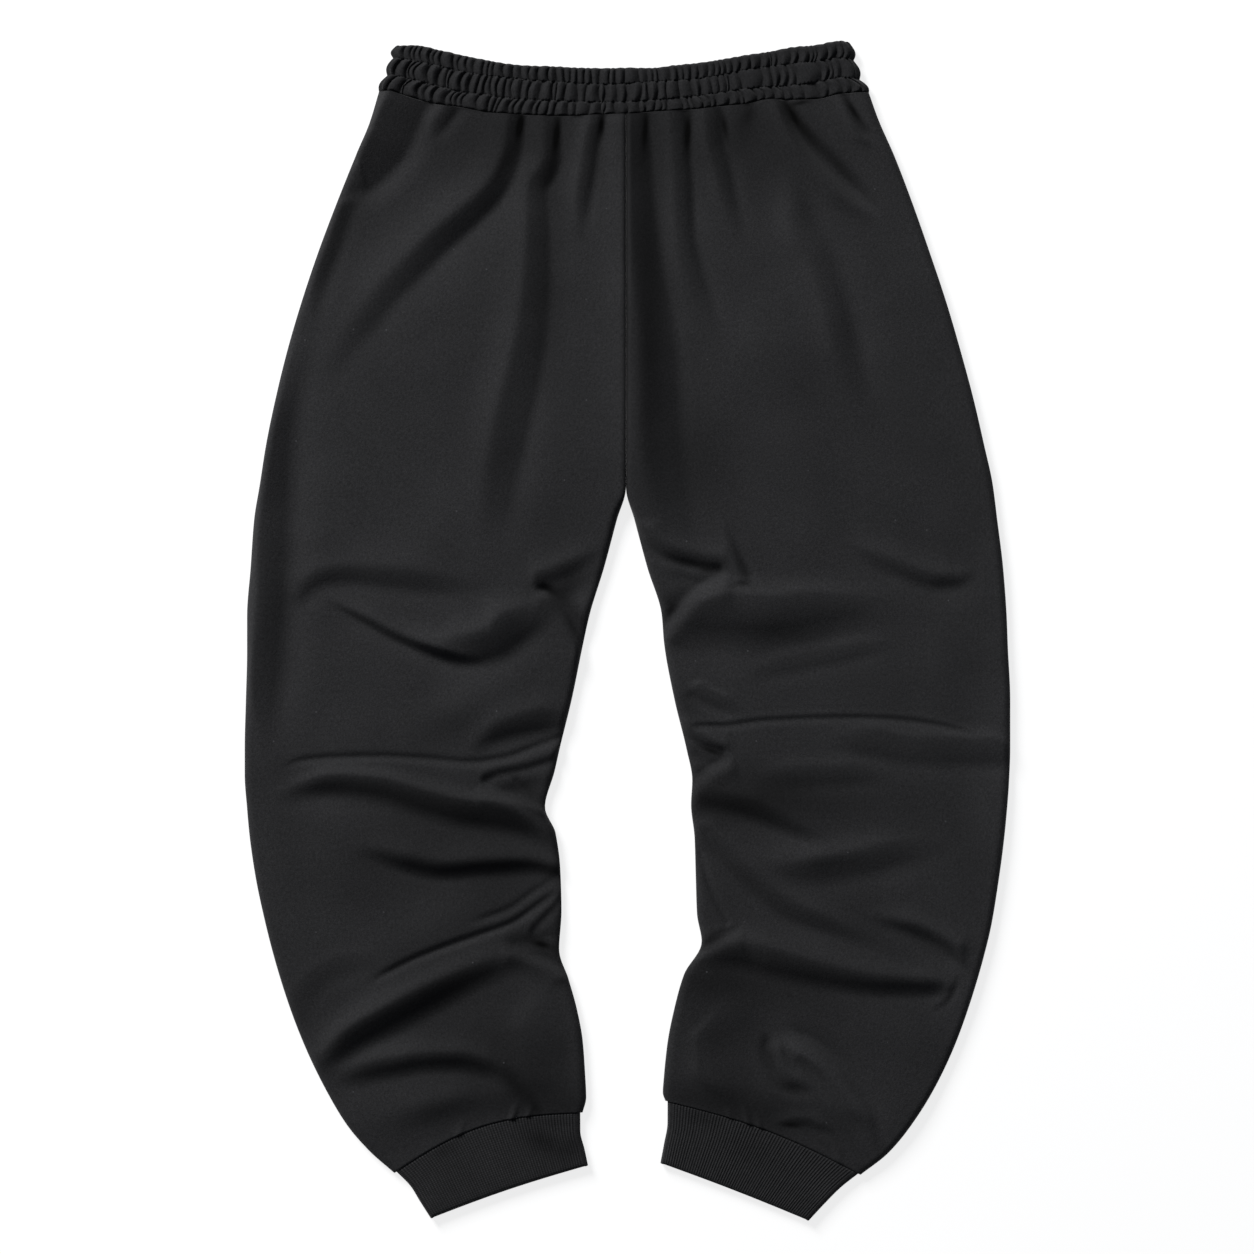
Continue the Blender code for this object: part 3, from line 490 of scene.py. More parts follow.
RIGHT_LEG_ROWS = (
    LegRow(205, 456, -1.3, 438),
    LegRow(213, 434, -1.3, 413),
    LegRow(227, 402, -1.3, 385),
    LegRow(243, 360, -1.3, 350),
    LegRow(257, 320, -1.3, 312),
    LegRow(271, 278, -1.3, 272),
    LegRow(283, 237, -1.3, 232),
    LegRow(294, 196, -1.3, 193),
    LegRow(303, 157, -1.3, 156),
    LegRow(310, 125, -1.3, 122),
    LegRow(314, 94, 6, 94),
    LegRow(319, 53, 17, 53),
    LegRow(322, 12, 29, 14),
    LegRow(323, -14, 31, -10),
    LegRow(325, -59, 40, -59),
    LegRow(325, -100, 50, -100),
    LegRow(324, -128, 55, -127),
    LegRow(322, -155, 54, -148),
    LegRow(319, -184, 57, -176),
    LegRow(314, -220, 58, -210),
    LegRow(309, -250, 59, -240),
    LegRow(302, -279, 63, -264),
    LegRow(291, -316, 48, -292),
    LegRow(278, -352, 40, -320),
    LegRow(261, -388, 34, -350),
    LegRow(241, -420, 31, -378),
    LegRow(221, -444, 30, -392),
    LegRow(198, -462, 32, -399),
)

# Lines across the cuffs: one and two thirds of the way down from the seam, and the hem
LEFT_CUFF_LINES = (
    CuffLine(-40, -425, -184, -472, 10),
    CuffLine(-36.5, -440, -176, -485, 6),
    CuffLine(-33.5, -454, -167, -499, 2),
)
RIGHT_CUFF_LINES = (
    CuffLine(34, -418, 181, -473, 4),
    CuffLine(31, -436, 167, -487, 2),
    CuffLine(28, -452, 154, -501, 1),
)

# The folds: the one beside the centre seam, then each leg's own, roughly from the waist down
SHARED_FOLDS = (
    Fold(9.5, 5.5, 46, 60, 36, 170, 6,
         ((64, 20), (58, 80), (51, 130), (46, 190), (43, 240), (40, 262), (34, 290), (29, 320), (25, 350),
          (22, 380), (20, 415), (17, 437), (16, 447)),
         flank_end=17, soft=8, bow=0.0, soft_end=2),
)
LEFT_FOLDS = (
    Fold(5.5, 5.5, 36, 14, 20, 30, 8,
         ((-242, 372), (-222, 371), (-208, 379), (-195, 392), (-186, 403), (-178, 422), (-168, 443),
          (-161, 459)), soft=4, bow=0.1),
    Fold(3.0, 2.4, 13, 16, 12, 18, 5, ((-166, 412), (-150, 430), (-137, 448), (-130, 458)), bow=0.2),
    Fold(6.5, 5.0, 32, 50, 34, 215, 6,
         ((-268, 172), (-248, 210), (-230, 236), (-212, 257), (-192, 281), (-172, 301), (-151, 322),
          (-124, 347), (-106, 366), (-94, 388), (-89, 408), (-87, 437), (-86, 448)),
         flank_end=13, soft=7, bow=0.15, soft_end=1.8),
    Fold(6.5, 4.5, 42, 40, 30, 165, 5,
         ((-112, 42), (-101, 90), (-91, 135), (-80, 180), (-72, 220), (-67, 260), (-65, 300), (-66, 345),
          (-68, 372), (-61, 384), (-56, 400), (-57, 425), (-60, 439), (-61, 449)),
         flank_end=11, soft=5.5, bow=0.15, soft_end=1.8),
    Fold(4.0, 3.0, 15, 18, 16, 60, 5,
         ((-38, 322), (-33, 350), (-28, 380), (-24, 408), (-18, 438), (-16, 448)),
         flank_end=12, soft=4, soft_end=1.8),
    Fold(5.5, 4.5, 26, 18, 30, 70, 130,
         ((-298, -110), (-292, -40), (-286, 40), (-284, 120), (-282, 165), (-275, 200), (-265, 240),
          (-254, 268)), soft=7, bow=0.2),
    Fold(2.4, 2.0, 13, 12, 14, 60, 14,
         ((-268, 248), (-253, 295), (-240, 330), (-228, 368)), soft=4, bow=0.2),
    Fold(4.8, 2.6, 12, 42, 22, 22, 100,
         ((-284, 15), (-271, 27), (-257, 37), (-240, 39), (-200, 35), (-150, 30), (-104, 33)),
         flank_end=24, soft=5, bow=0.2),
    Fold(4.5, 3.2, 6, 22, 16, 50, 60,
         ((-262, 29), (-240, 16), (-220, 4), (-200, -7), (-176, -17), (-155, -24), (-131, -28),
          (-112, -26)), flank_end=9, soft=2.5, bow=0.2),
    Fold(7.5, 4.5, 16, 34, 26, 70, 50,
         ((-200, -9), (-176, -19), (-155, -26), (-131, -29), (-108, -25), (-88, -12), (-70, 4), (-56, 20)),
         flank_end=38, soft=6, bow=0.35),
    Fold(2.0, 2.4, 13, 22, 24, 12, 50,
         ((-84, 34), (-66, 39), (-47, 47), (-31, 58), (-12, 73)), soft=4, bow=0.2),
    Fold(0.4, 1.5, 5, 8, 9, 8, 16, ((-80, 35), (-70, 35), (-52, 30)), soft=2),
    Fold(3.2, 2.8, 7, 24, 16, 24, 12,
         ((-26, -40), (-38, -10), (-46, 6), (-55, 20), (-66, 32), (-80, 38)), soft=3, bow=0.2),
    Fold(4.4, 3.6, 11, 30, 18, 36, 34,
         ((-138, -108), (-116, -97), (-96, -91), (-72, -87), (-40, -82)),
         flank_end=26, soft=5, bow=0.5),
    Fold(0, 2.6, 6, 4, 7, 30, 5,
         ((-298, -119), (-278, -111), (-250, -108), (-209, -107), (-170, -109), (-134, -112),
          (-104, -108), (-76, -98), (-54, -90)), soft=2),
    Fold(7.6, 4.6, 15, 15, 30, 56, 30,
         ((-304, -148), (-275, -141), (-250, -139), (-212, -143), (-173, -156), (-140, -165),
          (-112, -169), (-88, -175), (-66, -188), (-46, -204)), flank_end=27, soft=6, bow=0.4),
    Fold(0.8, 2.2, 7, 10, 12, 8, 12, ((-127, -129), (-108, -122), (-88, -118), (-62, -110), (-44, -102)),
         soft=2.5),
    Fold(1.8, 2.0, 7, 22, 12, 18, 10,
         ((-48, -194), (-66, -166), (-90, -147), (-110, -135), (-126, -127)), soft=2.5),
    Fold(0, 1.6, 4, 4, 5, 8, 6, ((-62, -160), (-82, -140), (-98, -123)), soft=1.5),
    Fold(6.2, 4.2, 15, 30, 40, 60, 8,
         ((-240, -184), (-214, -193), (-187, -203), (-158, -208), (-124, -205), (-90, -203),
          (-50, -210)), flank_end=9, soft=5, bow=0.4),
    Fold(0, 3.0, 6, 3, 7, 12, 30,
         ((-58, -221), (-84, -239), (-98, -248), (-120, -256), (-160, -270), (-186, -281),
          (-224, -302)), soft=2),
    Fold(0, 2.0, 6, 3, 7, 8, 30, ((-56, -207), (-80, -222), (-100, -236), (-140, -250)), soft=2),
    Fold(0.8, 2.0, 6, 12, 9, 8, 8, ((-84, -259), (-70, -244), (-48, -220)), soft=2.5),
    Fold(2.2, 2.6, 8, 22, 12, 16, 12, ((-44, -296), (-64, -281), (-84, -273), (-106, -262)), soft=3),
    Fold(0.9, 0.8, 18, 16, 14, 20, 40,
         ((-272, -345), (-268, -318), (-254, -300), (-200, -281)), soft=5),
    Fold(8.4, 4.8, 22, 28, 44, 60, 140,
         ((-272, -388), (-251, -373), (-217, -350), (-183, -331), (-150, -313), (-125, -300),
          (-104, -291), (-80, -285), (-50, -284)), soft=7, bow=0.2),
    Fold(7.0, 4.0, 19, 24, 34, 60, 34,
         ((-262, -380), (-240, -384), (-205, -379), (-170, -372), (-144, -371), (-118, -377), (-96, -390)),
         flank_end=12, soft=6, bow=0.3),
    Fold(3.0, 2.0, 40, 50, 12, 40, 40, ((-43, -405), (-44, -345), (-56, -290)), soft=12, bow=0),
)
RIGHT_FOLDS = (
    Fold(4.5, 3.4, 20, 24, 20, 70, 5,
         ((82, 245), (66, 300), (60, 322), (57, 342), (56, 370), (54, 400), (50, 439), (49, 449)),
         flank_end=14, soft=4, soft_end=1.8),
    Fold(3.4, 2.6, 14, 18, 15, 60, 5,
         ((102, 322), (95, 355), (91, 375), (87, 395), (82, 412), (79, 441), (78, 451)),
         soft=4, soft_end=1.8),
    Fold(4.5, 8.5, 14, 24, 13, 46, 5,
         ((216, 350), (203, 362), (186, 380), (170, 396), (157, 410), (147, 424), (140, 437),
          (134, 451), (129, 461)), flank_end=9, soft=3.5, bow=0.2, soft_end=1.8),
    Fold(2.2, 3.2, 7, 12, 8, 18, 5, ((212, 410), (198, 428), (187, 454), (183, 464))),
    Fold(4.2, 3.2, 21, 30, 28, 60, 60,
         ((208, 190), (196, 240), (188, 275), (181, 300), (172, 325), (160, 345), (150, 370),
          (139, 398)), soft=6),
    Fold(2.2, 4.2, 12, 22, 10, 16, 8, ((2, 92), (14, 74), (32, 61), (54, 55), (86, 50)), soft=3),
    Fold(2.8, 2.8, 10, 32, 14, 12, 20,
         ((89, 50), (74, 45), (56, 34), (42, 18), (30, 2), (20, -14)), soft=3),
    Fold(3.2, 2.8, 9, 16, 8, 8, 50, ((107, 40), (100, 56), (92, 74), (80, 104)), soft=3),
    Fold(6.5, 5.5, 44, 26, 34, 70, 90,
         ((18, 2), (44, -6), (80, -11), (115, -11), (150, -7), (190, 2), (240, 17)), flank_end=34,
         soft=13, bow=0.75),
    Fold(3.6, 2.8, 14, 26, 24, 60, 44,
         ((176, 76), (198, 62), (220, 49), (242, 40), (262, 35), (278, 36), (290, 43), (300, 56)),
         flank_end=12, soft=4.5, bow=0.3),
    Fold(1.6, 1.2, 15, 14, 16, 40, 40, ((96, -43), (150, -34), (189, -26), (230, -14)), soft=4),
    Fold(2.0, 2.0, 13, 8, 10, 8, 18, ((48, -52), (69, -64), (94, -74)), soft=3),
    Fold(0.4, 2.0, 4.5, 5, 7, 12, 70,
         ((50, -81), (80, -81), (110, -77), (146, -75), (190, -74), (232, -76), (276, -83),
          (320, -97)), soft=2),
    Fold(2.6, 2.0, 24, 16, 24, 50, 40, ((160, -96), (200, -106), (245, -114), (345, -116)), soft=5),
    Fold(1.6, 3.4, 8, 14, 8, 14, 8, ((34, -74), (48, -88), (64, -98), (88, -105)), soft=2.5),
    Fold(2.6, 2.6, 9, 28, 12, 10, 18,
         ((90, -104), (80, -110), (67, -118), (55, -128), (42, -142)), soft=3),
    Fold(1.7, 1.4, 18, 16, 14, 45, 50, ((100, -128), (150, -133), (195, -131), (235, -128)), soft=5),
    Fold(6.2, 4.6, 21, 26, 26, 66, 70,
         ((44, -146), (70, -150), (96, -157), (118, -165), (142, -174), (180, -184)),
         flank_end=10, soft=5, bow=0.35),
    Fold(3.6, 2.8, 16, 24, 20, 20, 80,
         ((44, -166), (62, -182), (77, -196), (96, -215), (116, -233), (142, -248), (178, -260),
          (222, -272)), soft=4, bow=0.2),
    Fold(2.3, 1.8, 24, 22, 24, 60, 70,
         ((108, -208), (160, -215), (204, -208), (245, -196), (282, -184)), soft=6),
    Fold(0, 3.0, 5, 3, 7, 10, 4, ((59, -182), (66, -205), (75, -227), (87, -251)), soft=2),
    Fold(2.4, 2.4, 8, 40, 10, 10, 18, ((99, -251), (84, -257), (68, -266), (50, -280)), soft=3),
    Fold(8.0, 5.0, 30, 28, 42, 84, 36,
         ((40, -286), (66, -283), (92, -285), (120, -292), (157, -300), (190, -305), (218, -307),
          (250, -307), (286, -301)), flank_end=9, soft=6, bow=0.45),
    Fold(0.5, 0.9, 6, 12, 6, 10, 12, ((256, -325), (271, -316), (278, -304), (281, -291)), soft=2),
    Fold(4.4, 3.6, 13, 22, 18, 60, 16,
         ((194, -243), (218, -250), (246, -260), (268, -271), (286, -284)), flank_end=9, soft=3.5, bow=0.2),
    Fold(5.0, 3.0, 13, 20, 18, 64, 24,
         ((217, -452), (210, -412), (196, -388), (180, -366), (158, -348), (130, -336)), soft=4),
    Fold(2.4, 3.2, 10, 14, 12, 12, 20, ((122, -340), (118, -356), (123, -374), (136, -387), (160, -393)),
         soft=3),
    Fold(3.0, 2.4, 52, 18, 50, 36, 36, ((112, -408), (112, -360), (106, -306)), soft=12, bow=0),
    Fold(3.0, 3.0, 8, 14, 10, 9, 20,
         ((126, -431), (136, -423), (148, -421), (160, -425), (178, -428)), soft=3),
)

# Soft swellings and hollows between the folds
LEFT_MOUNDS = (
    Mound(-265, 78, 2.0, 30, 22),
    Mound(-46, 30, -3.0, 26, 15, 35),
    Mound(-142, -66, 3.5, 44, 26, 20),
    Mound(-88, -134, -2.5, 28, 12, 8),
    Mound(-76, -262, -3.0, 20, 9, 5),
    Mound(-160, -400, 3.0, 50, 22, 12),
    Mound(-190, 250, 2.5, 90, 120, -60),
    Mound(-165, -255, 2.0, 80, 30, 25),
    Mound(-225, -185, 3.0, 70, 70),
    Mound(-75, -200, -2.5, 50, 70),
)
RIGHT_MOUNDS = (
    Mound(52, 44, -3.0, 22, 11, -20),
    Mound(62, -108, -2.5, 18, 9, -20),
    Mound(270, -30, 3.0, 40, 60),
    Mound(205, -445, 2.5, 18, 28),
    Mound(160, -190, 3.0, 60, 16, 6),
    Mound(120, 240, 2.5, 60, 120, -75),
    Mound(160, -440, 3.0, 28, 12, -25),
    Mound(90, -345, -2.0, 50, 40),
)

# Painted shade and light on the legs: painted shade on the fold flanks, in the pinched folds, under the
# waistband and along the centre seam, and painted light on a few crests and along the right leg's outer
# edge
LEFT_PAINTED_SHADING = (
    PaintedShadingPatch(-135, -190, -0.40, 135, 62, -6),
    PaintedShadingPatch(-140, -300, -0.42, 84, 28, 22),
    PaintedShadingPatch(-185, -144, -0.34, 130, 20, -10),
    PaintedShadingPatch(-115, -365, -0.38, 125, 60, -12),
    PaintedShadingPatch(-225, -376, -0.26, 36, 20, 10),
    PaintedShadingPatch(-262, -302, -0.16, 26, 40),
    PaintedShadingPatch(-92, -388, -0.32, 26, 10, -55),
    PaintedShadingPatch(-78, -404, -0.3, 14, 6, -70),
    PaintedShadingPatch(-73, -266, -0.9, 15, 6, -14),
    PaintedShadingPatch(-92, -262, -0.25, 20, 12, 15),
    PaintedShadingPatch(-62, -250, -0.2, 14, 32),
    PaintedShadingPatch(-60, -412, -0.36, 40, 20, 12),
    PaintedShadingPatch(-82, -138, -0.38, 28, 13, -30),
    PaintedShadingPatch(-64, -204, -0.35, 20, 8, -14),
    PaintedShadingPatch(-82, -82, -0.22, 38, 22, 10),
    PaintedShadingPatch(-52, 40, -0.36, 34, 14, 38),
    PaintedShadingPatch(-46, 14, -0.42, 28, 11, -62),
    PaintedShadingPatch(-67, 35, -0.6, 12, 4.5, -35),
    PaintedShadingPatch(-47, 4, -0.3, 18, 3, -62),
    PaintedShadingPatch(-80, 0, -0.10, 34, 24, 40),
    PaintedShadingPatch(-292, 20, -0.14, 20, 220),
    PaintedShadingPatch(-110, 420, -0.44, 150, 66),
    PaintedShadingPatch(-1.8, 280, -0.3, 1.5, 420),
    PaintedShadingPatch(-91, 428, -0.85, 17, 4.5, 80),
    PaintedShadingPatch(-102, 398, -0.30, 26, 9, 62),
    PaintedShadingPatch(-60, 420, -0.75, 26, 4.5, 84),
    PaintedShadingPatch(-66, 388, -0.30, 24, 8, 76),
    PaintedShadingPatch(-22, 428, -0.85, 14, 4, 86),
    PaintedShadingPatch(-24, 395, -0.22, 10, 44),
    PaintedShadingPatch(-136, 443, -0.65, 10, 2.6, -12),
    PaintedShadingPatch(-171, 449, -0.65, 11, 2.6, -16),
    PaintedShadingPatch(-43, 436, -0.6, 7, 2.2, -8),
    PaintedShadingPatch(-66, 290, -0.30, 20, 160),
    PaintedShadingPatch(-105, 150, -0.10, 22, 60, -10),
    PaintedShadingPatch(-240, 345, -0.26, 32, 100, -20),
    PaintedShadingPatch(-60, 20, -0.24, 18, 14),
)
RIGHT_PAINTED_SHADING = (
    PaintedShadingPatch(112, -300, -0.42, 125, 44, -6),
    PaintedShadingPatch(68, -300, -0.24, 44, 22),
    PaintedShadingPatch(282, -280, -0.4, 16, 5, -38),
    PaintedShadingPatch(92, -404, -0.40, 95, 50, -14),
    PaintedShadingPatch(76, -345, -0.28, 50, 24),
    PaintedShadingPatch(121, -362, -0.42, 7, 20, 12),
    PaintedShadingPatch(137, -388, -0.42, 20, 6, -22),
    PaintedShadingPatch(152, -360, 0.20, 34, 8, -32),
    PaintedShadingPatch(191, -396, 0.18, 34, 7, -60),
    PaintedShadingPatch(204, -424, 0.14, 24, 8, -84),
    PaintedShadingPatch(225, -420, 0.14, 30, 40),
    PaintedShadingPatch(139, -419, -0.65, 13, 3.2, -6),
    PaintedShadingPatch(117, -425, -0.45, 16, 3, -22),
    PaintedShadingPatch(148, -431, 0.12, 16, 5, -16),
    PaintedShadingPatch(262, -270, -0.25, 44, 9, -28),
    PaintedShadingPatch(272, -312, -0.40, 16, 4, 62),
    PaintedShadingPatch(102, -212, -0.18, 50, 11, -42),
    PaintedShadingPatch(104, -144, -0.66, 116, 36, 2),
    PaintedShadingPatch(50, -62, -0.2, 20, 14),
    PaintedShadingPatch(56, 250, -0.14, 22, 170),
    PaintedShadingPatch(74, 142, -0.2, 36, 66),
    PaintedShadingPatch(71, -102, -0.85, 16, 4, -20),
    PaintedShadingPatch(72, -262, -0.5, 20, 6, 28),
    PaintedShadingPatch(160, -235, -0.12, 110, 40),
    PaintedShadingPatch(115, -8, -0.30, 90, 34),
    PaintedShadingPatch(120, 0, -0.16, 50, 12, -4),
    PaintedShadingPatch(54, 57, -0.5, 30, 5, -10),
    PaintedShadingPatch(68, 51, -0.5, 13, 5, -8),
    PaintedShadingPatch(36, 24, -0.4, 10, 12, 40),
    PaintedShadingPatch(36, 16, -0.5, 9, 5, 50),
    PaintedShadingPatch(98, 54, -0.30, 22, 6, -64),
    PaintedShadingPatch(85, 420, -0.40, 150, 66),
    PaintedShadingPatch(15, 424, -0.7, 24, 3.6, 86),
    PaintedShadingPatch(51, 422, -0.8, 26, 4.5, 87),
    PaintedShadingPatch(47, 441, -0.6, 7, 2.4, 4),
    PaintedShadingPatch(101, 446, -0.5, 5, 2.4, 8),
    PaintedShadingPatch(103, 438, -0.3, 7, 12, -20),
    PaintedShadingPatch(147, 447, -0.65, 12, 2.4, 10),
    PaintedShadingPatch(183, 455, -0.5, 6, 2.2, 10),
    PaintedShadingPatch(191, 442, -0.4, 14, 4, -58),
    PaintedShadingPatch(82, 428, -0.55, 18, 4, 100),
    PaintedShadingPatch(139, 438, -0.6, 7, 14, 25),
    PaintedShadingPatch(150, 424, -0.5, 28, 7, -54),
    PaintedShadingPatch(180, 394, -0.4, 52, 7, -48),
    PaintedShadingPatch(194, 436, -0.5, 24, 4, -54),
    PaintedShadingPatch(98, 428, -0.16, 14, 26),
    PaintedShadingPatch(18, 270, -0.60, 24, 210),
    PaintedShadingPatch(-0.8, 280, -0.6, 1.8, 420),
    PaintedShadingPatch(54, 140, -0.20, 30, 60),
    PaintedShadingPatch(312, -90, 0.30, 34, 240),
    PaintedShadingPatch(285, -300, 0.28, 34, 120, 12),
)

# The gathers above the cuffs
LEFT_TUCKS = (
    Tuck(0.27, 16, 1.1, 4.5),
    Tuck(0.35, 22, 1.6, 5),
    Tuck(0.63, 14, 0.9, 6),
)
RIGHT_TUCKS = (
    Tuck(0.32, 15, 1.0, 5),
    Tuck(0.41, 22, 1.6, 5),
    Tuck(0.47, 17, 1.2, 4.5),
    Tuck(0.88, 14, 0.9, 6),
)


@dataclass
class LegPlan:
    """The outline of one leg, and the height of the cloth over it."""

    side: Side
    rows: tuple[LegRow, ...]
    folds: tuple[Fold, ...]
    mounds: tuple[Mound, ...]
    tucks: tuple[Tuck, ...]
    # Patches of painted shade and light on the leg
    nap: tuple[PaintedShadingPatch, ...]
    cuff_bow: float
    undulation: Undulation
    tuck_lean: float = 0.25
    edge_roll: float = 7.0
    crown: float = 3.5
    waist_turn: float = 0.4
    waist_turn_height: float = 8.0
    waist_fold_share: float = 0.85
    waist_fold_fade: float = 10.0
    cuff_turn: float = 1.3
    cuff_turn_height: float = 7.2
    cuff_seam_height: float = 8.2
    cuff_seam_fade: float = 40.0
    groove: float = 2.2
    groove_width: float = 4.5

    def __post_init__(self) -> None:
        """Draws the two long edges through the rows, and ends them on the seams."""
        outer = np.array([(row.outer_x, row.outer_y) for row in self.rows], float)
        inner = np.array([(row.inner_x, row.inner_y) for row in self.rows], float)
        self.cuff_inner, self.cuff_outer = inner[-1].copy(), outer[-1].copy()
        inner[:, 0] += self.side.value * SEAM_GAP / 2
        steps = np.linalg.norm(np.diff((outer + inner) / 2, axis=0), axis=1)
        knots = np.concatenate([[0.0], np.cumsum(steps)]) / steps.sum()
        outer[0, 1] = waist_seam_y(outer[0, 0]) - SEAM_GAP / 2
        inner[0, 1] = waist_seam_y(inner[0, 0]) - SEAM_GAP / 2
        inner[-1] = self.cuff_seam(np.array([0.0]))[0]
        outer[-1] = self.cuff_seam(np.array([1.0]))[0]
        self.length = float(steps.sum())
        self.outer = Curve(outer, knots)
        self.inner = Curve(inner, knots)

    def cuff_seam(self, share: Array) -> Array:
        """The panel's side of the cuff seam, half a gap above it."""
        seam = bowed_line(self.cuff_inner, self.cuff_outer, self.cuff_bow, share)
        return seam + np.array([0.0, SEAM_GAP / 2])

    def place(self, u: Array, v: Array) -> Array:
        """Plan points: u runs from the inseam to the side seam, v from the waist to the cuff."""
        inner, outer = self.inner.at(v), self.outer.at(v)
        first, last = self.inner.points[0], self.outer.points[0]
        top = first + (last - first) * u[:, None]
        top_shift = waist_seam_y(top[:, 0]) - SEAM_GAP / 2 - top[:, 1]
        low_first, low_last = self.inner.points[-1], self.outer.points[-1]
        straight = low_first + (low_last - low_first) * u[:, None]
        low_shift = self.cuff_seam(u) - straight
        points = inner + (outer - inner) * u[:, None]
        points[:, 1] += top_shift * (1.0 - v)
        return points + low_shift * v[:, None]

    def width(self, v: Array) -> Array:
        """How wide the leg is at these places down it."""
        return np.linalg.norm(self.outer.at(v) - self.inner.at(v), axis=1)

    def open_edge(self, v: Array) -> Array:
        """1 along the inseam and 0 along the centre seam, where the two legs are joined."""
        return smooth_step((CROTCH_Y - self.inner.at(v)[:, 1]) / INSEAM_BLEND)

    def crown_height(self, place: Array, u: Array, parted: Array) -> Array:
        """The swell of a leg over the air inside it: one swell across both legs at the hips."""
        over_leg = 1.0 - (2.0 * u - 1.0) ** 2
        over_hips = 1.0 - np.clip(np.abs(place[:, 0]) / HIP_HALF_WIDTH, 0.0, 1.0) ** 2
        return self.crown * (over_leg * parted + over_hips * (1.0 - parted))

    def fold_height(self, place: Array) -> Array:
        """The folds and mounds together, over level cloth."""
        height = np.zeros(len(place))
        for form in (*self.folds, *self.mounds):
            form.lift(place, height)
        return height

    def painted_shading(self, place: Array) -> Array:
        """The painted shade and light at each place."""
        shade = np.zeros(len(place))
        for patch in self.nap:
            patch.lay(place, shade)
        return shade

    def face_height(self, place: Array, u: Array, v: Array) -> Array:
        """The outside of the upper cloth before its long edges turn down."""
        opened = self.open_edge(v)
        parted = smooth_step((CROTCH_Y + CROWN_BLEND / 2 - place[:, 1]) / CROWN_BLEND)
        from_waist, from_cuff = self.length * v, self.length * (1.0 - v)
        share = self.waist_fold_share
        share += (1.0 - share) * smooth_step(from_waist / self.waist_fold_fade)
        height = BODY_HEIGHT + self.fold_height(place) * share
        height += self.crown_height(place, u, parted)
        self.undulation.lift(place, height)
        cuff_share = smooth_step(from_cuff / self.cuff_seam_fade)
        height = self.cuff_seam_height + (height - self.cuff_seam_height) * cuff_share
        height += self.tuck_height(place, from_cuff)
        height = held_between(height, LOWEST_OUTSIDE, HIGHEST_FOLD)
        near = np.clip(1.0 - np.abs(place[:, 0] - CENTRE_X) / self.groove_width, 0.0, 1.0)
        height -= self.groove * near**2 * (1.0 - opened)
        turned = quarter_turn(from_waist, self.waist_turn)
        height = self.waist_turn_height + (height - self.waist_turn_height) * turned
        turned = quarter_turn(from_cuff, self.cuff_turn)
        return self.cuff_turn_height + (height - self.cuff_turn_height) * turned

    def tuck_height(self, place: Array, from_cuff: Array) -> Array:
        """The small gathers along the cuff seam."""
        total = np.zeros(len(place))
        for tuck in self.tucks:
            root = self.cuff_seam(np.array([tuck.along]))[0]
            lean = self.side.value * self.tuck_lean * from_cuff
            across = np.abs(place[:, 0] - root[0] + lean)
            ridge = smooth_step(1.0 - across / tuck.width)
            total += tuck.rise * ridge * smooth_step(1.0 - from_cuff / tuck.reach)
        return total

    def edge_turn(self, u: Array, v: Array) -> tuple[Array, Array]:
        """How much height is left near a rolled edge, and the inside's shift in u."""
        width = self.width(v)
        opened = self.open_edge(v)
        turn_inner = np.clip(1.0 - u * width / self.edge_roll, 0.0, 1.0)
        turn_outer = np.clip(1.0 - (1.0 - u) * width / self.edge_roll, 0.0, 1.0)
        fall = np.sqrt(1.0 - turn_outer**2)
        fall *= 1.0 - opened * (1.0 - np.sqrt(1.0 - turn_inner**2))
        inward = WALL * (opened * turn_inner**2 - turn_outer**2) / width
        return fall, inward

    def turned_down(self, height: Array, u: Array, v: Array, rim: float) -> Array:
        """Heights after the long edges have turned to their rim."""
        fall, _ = self.edge_turn(u, v)
        return rim + (height - rim) * fall


def left_leg() -> LegPlan:
    """The leg on the left of the picture."""
    return LegPlan(
        Side.LEFT, LEFT_LEG_ROWS, SHARED_FOLDS + LEFT_FOLDS, LEFT_MOUNDS, LEFT_TUCKS, LEFT_PAINTED_SHADING,
        cuff_bow=15.0, undulation=Undulation(seed=3),
    )


def right_leg() -> LegPlan:
    """The leg on the right of the picture."""
    return LegPlan(
        Side.RIGHT, RIGHT_LEG_ROWS, SHARED_FOLDS + RIGHT_FOLDS, RIGHT_MOUNDS, RIGHT_TUCKS, RIGHT_PAINTED_SHADING,
        cuff_bow=7.0, undulation=Undulation(seed=5),
    )


def lowest_near(heights: Array, reach: int) -> Array:
    """The lowest value within some rows and columns of each place of a grid."""
    padded = np.pad(heights, reach, mode="edge")
    rows, columns = heights.shape
    lowest = heights.copy()
    for down in range(2 * reach + 1):
        for across in range(2 * reach + 1):
            part = padded[down:down + rows, across:across + columns]
            lowest = np.minimum(lowest, part)
    return lowest


def grid_index(mesh: Mesh, columns: int, rows: int) -> tuple[Array, Array, Array]:
    """Which column and row of a fresh grid each vertex stands on, and which way it was lifted."""
    places = np.array([vert.co for vert in mesh.verts])
    column = np.round((places[:, 0] + 1.0) / 2.0 * columns).astype(int)
    row = np.round((places[:, 1] + 1.0) / 2.0 * rows).astype(int)
    return column, row, places[:, 2]


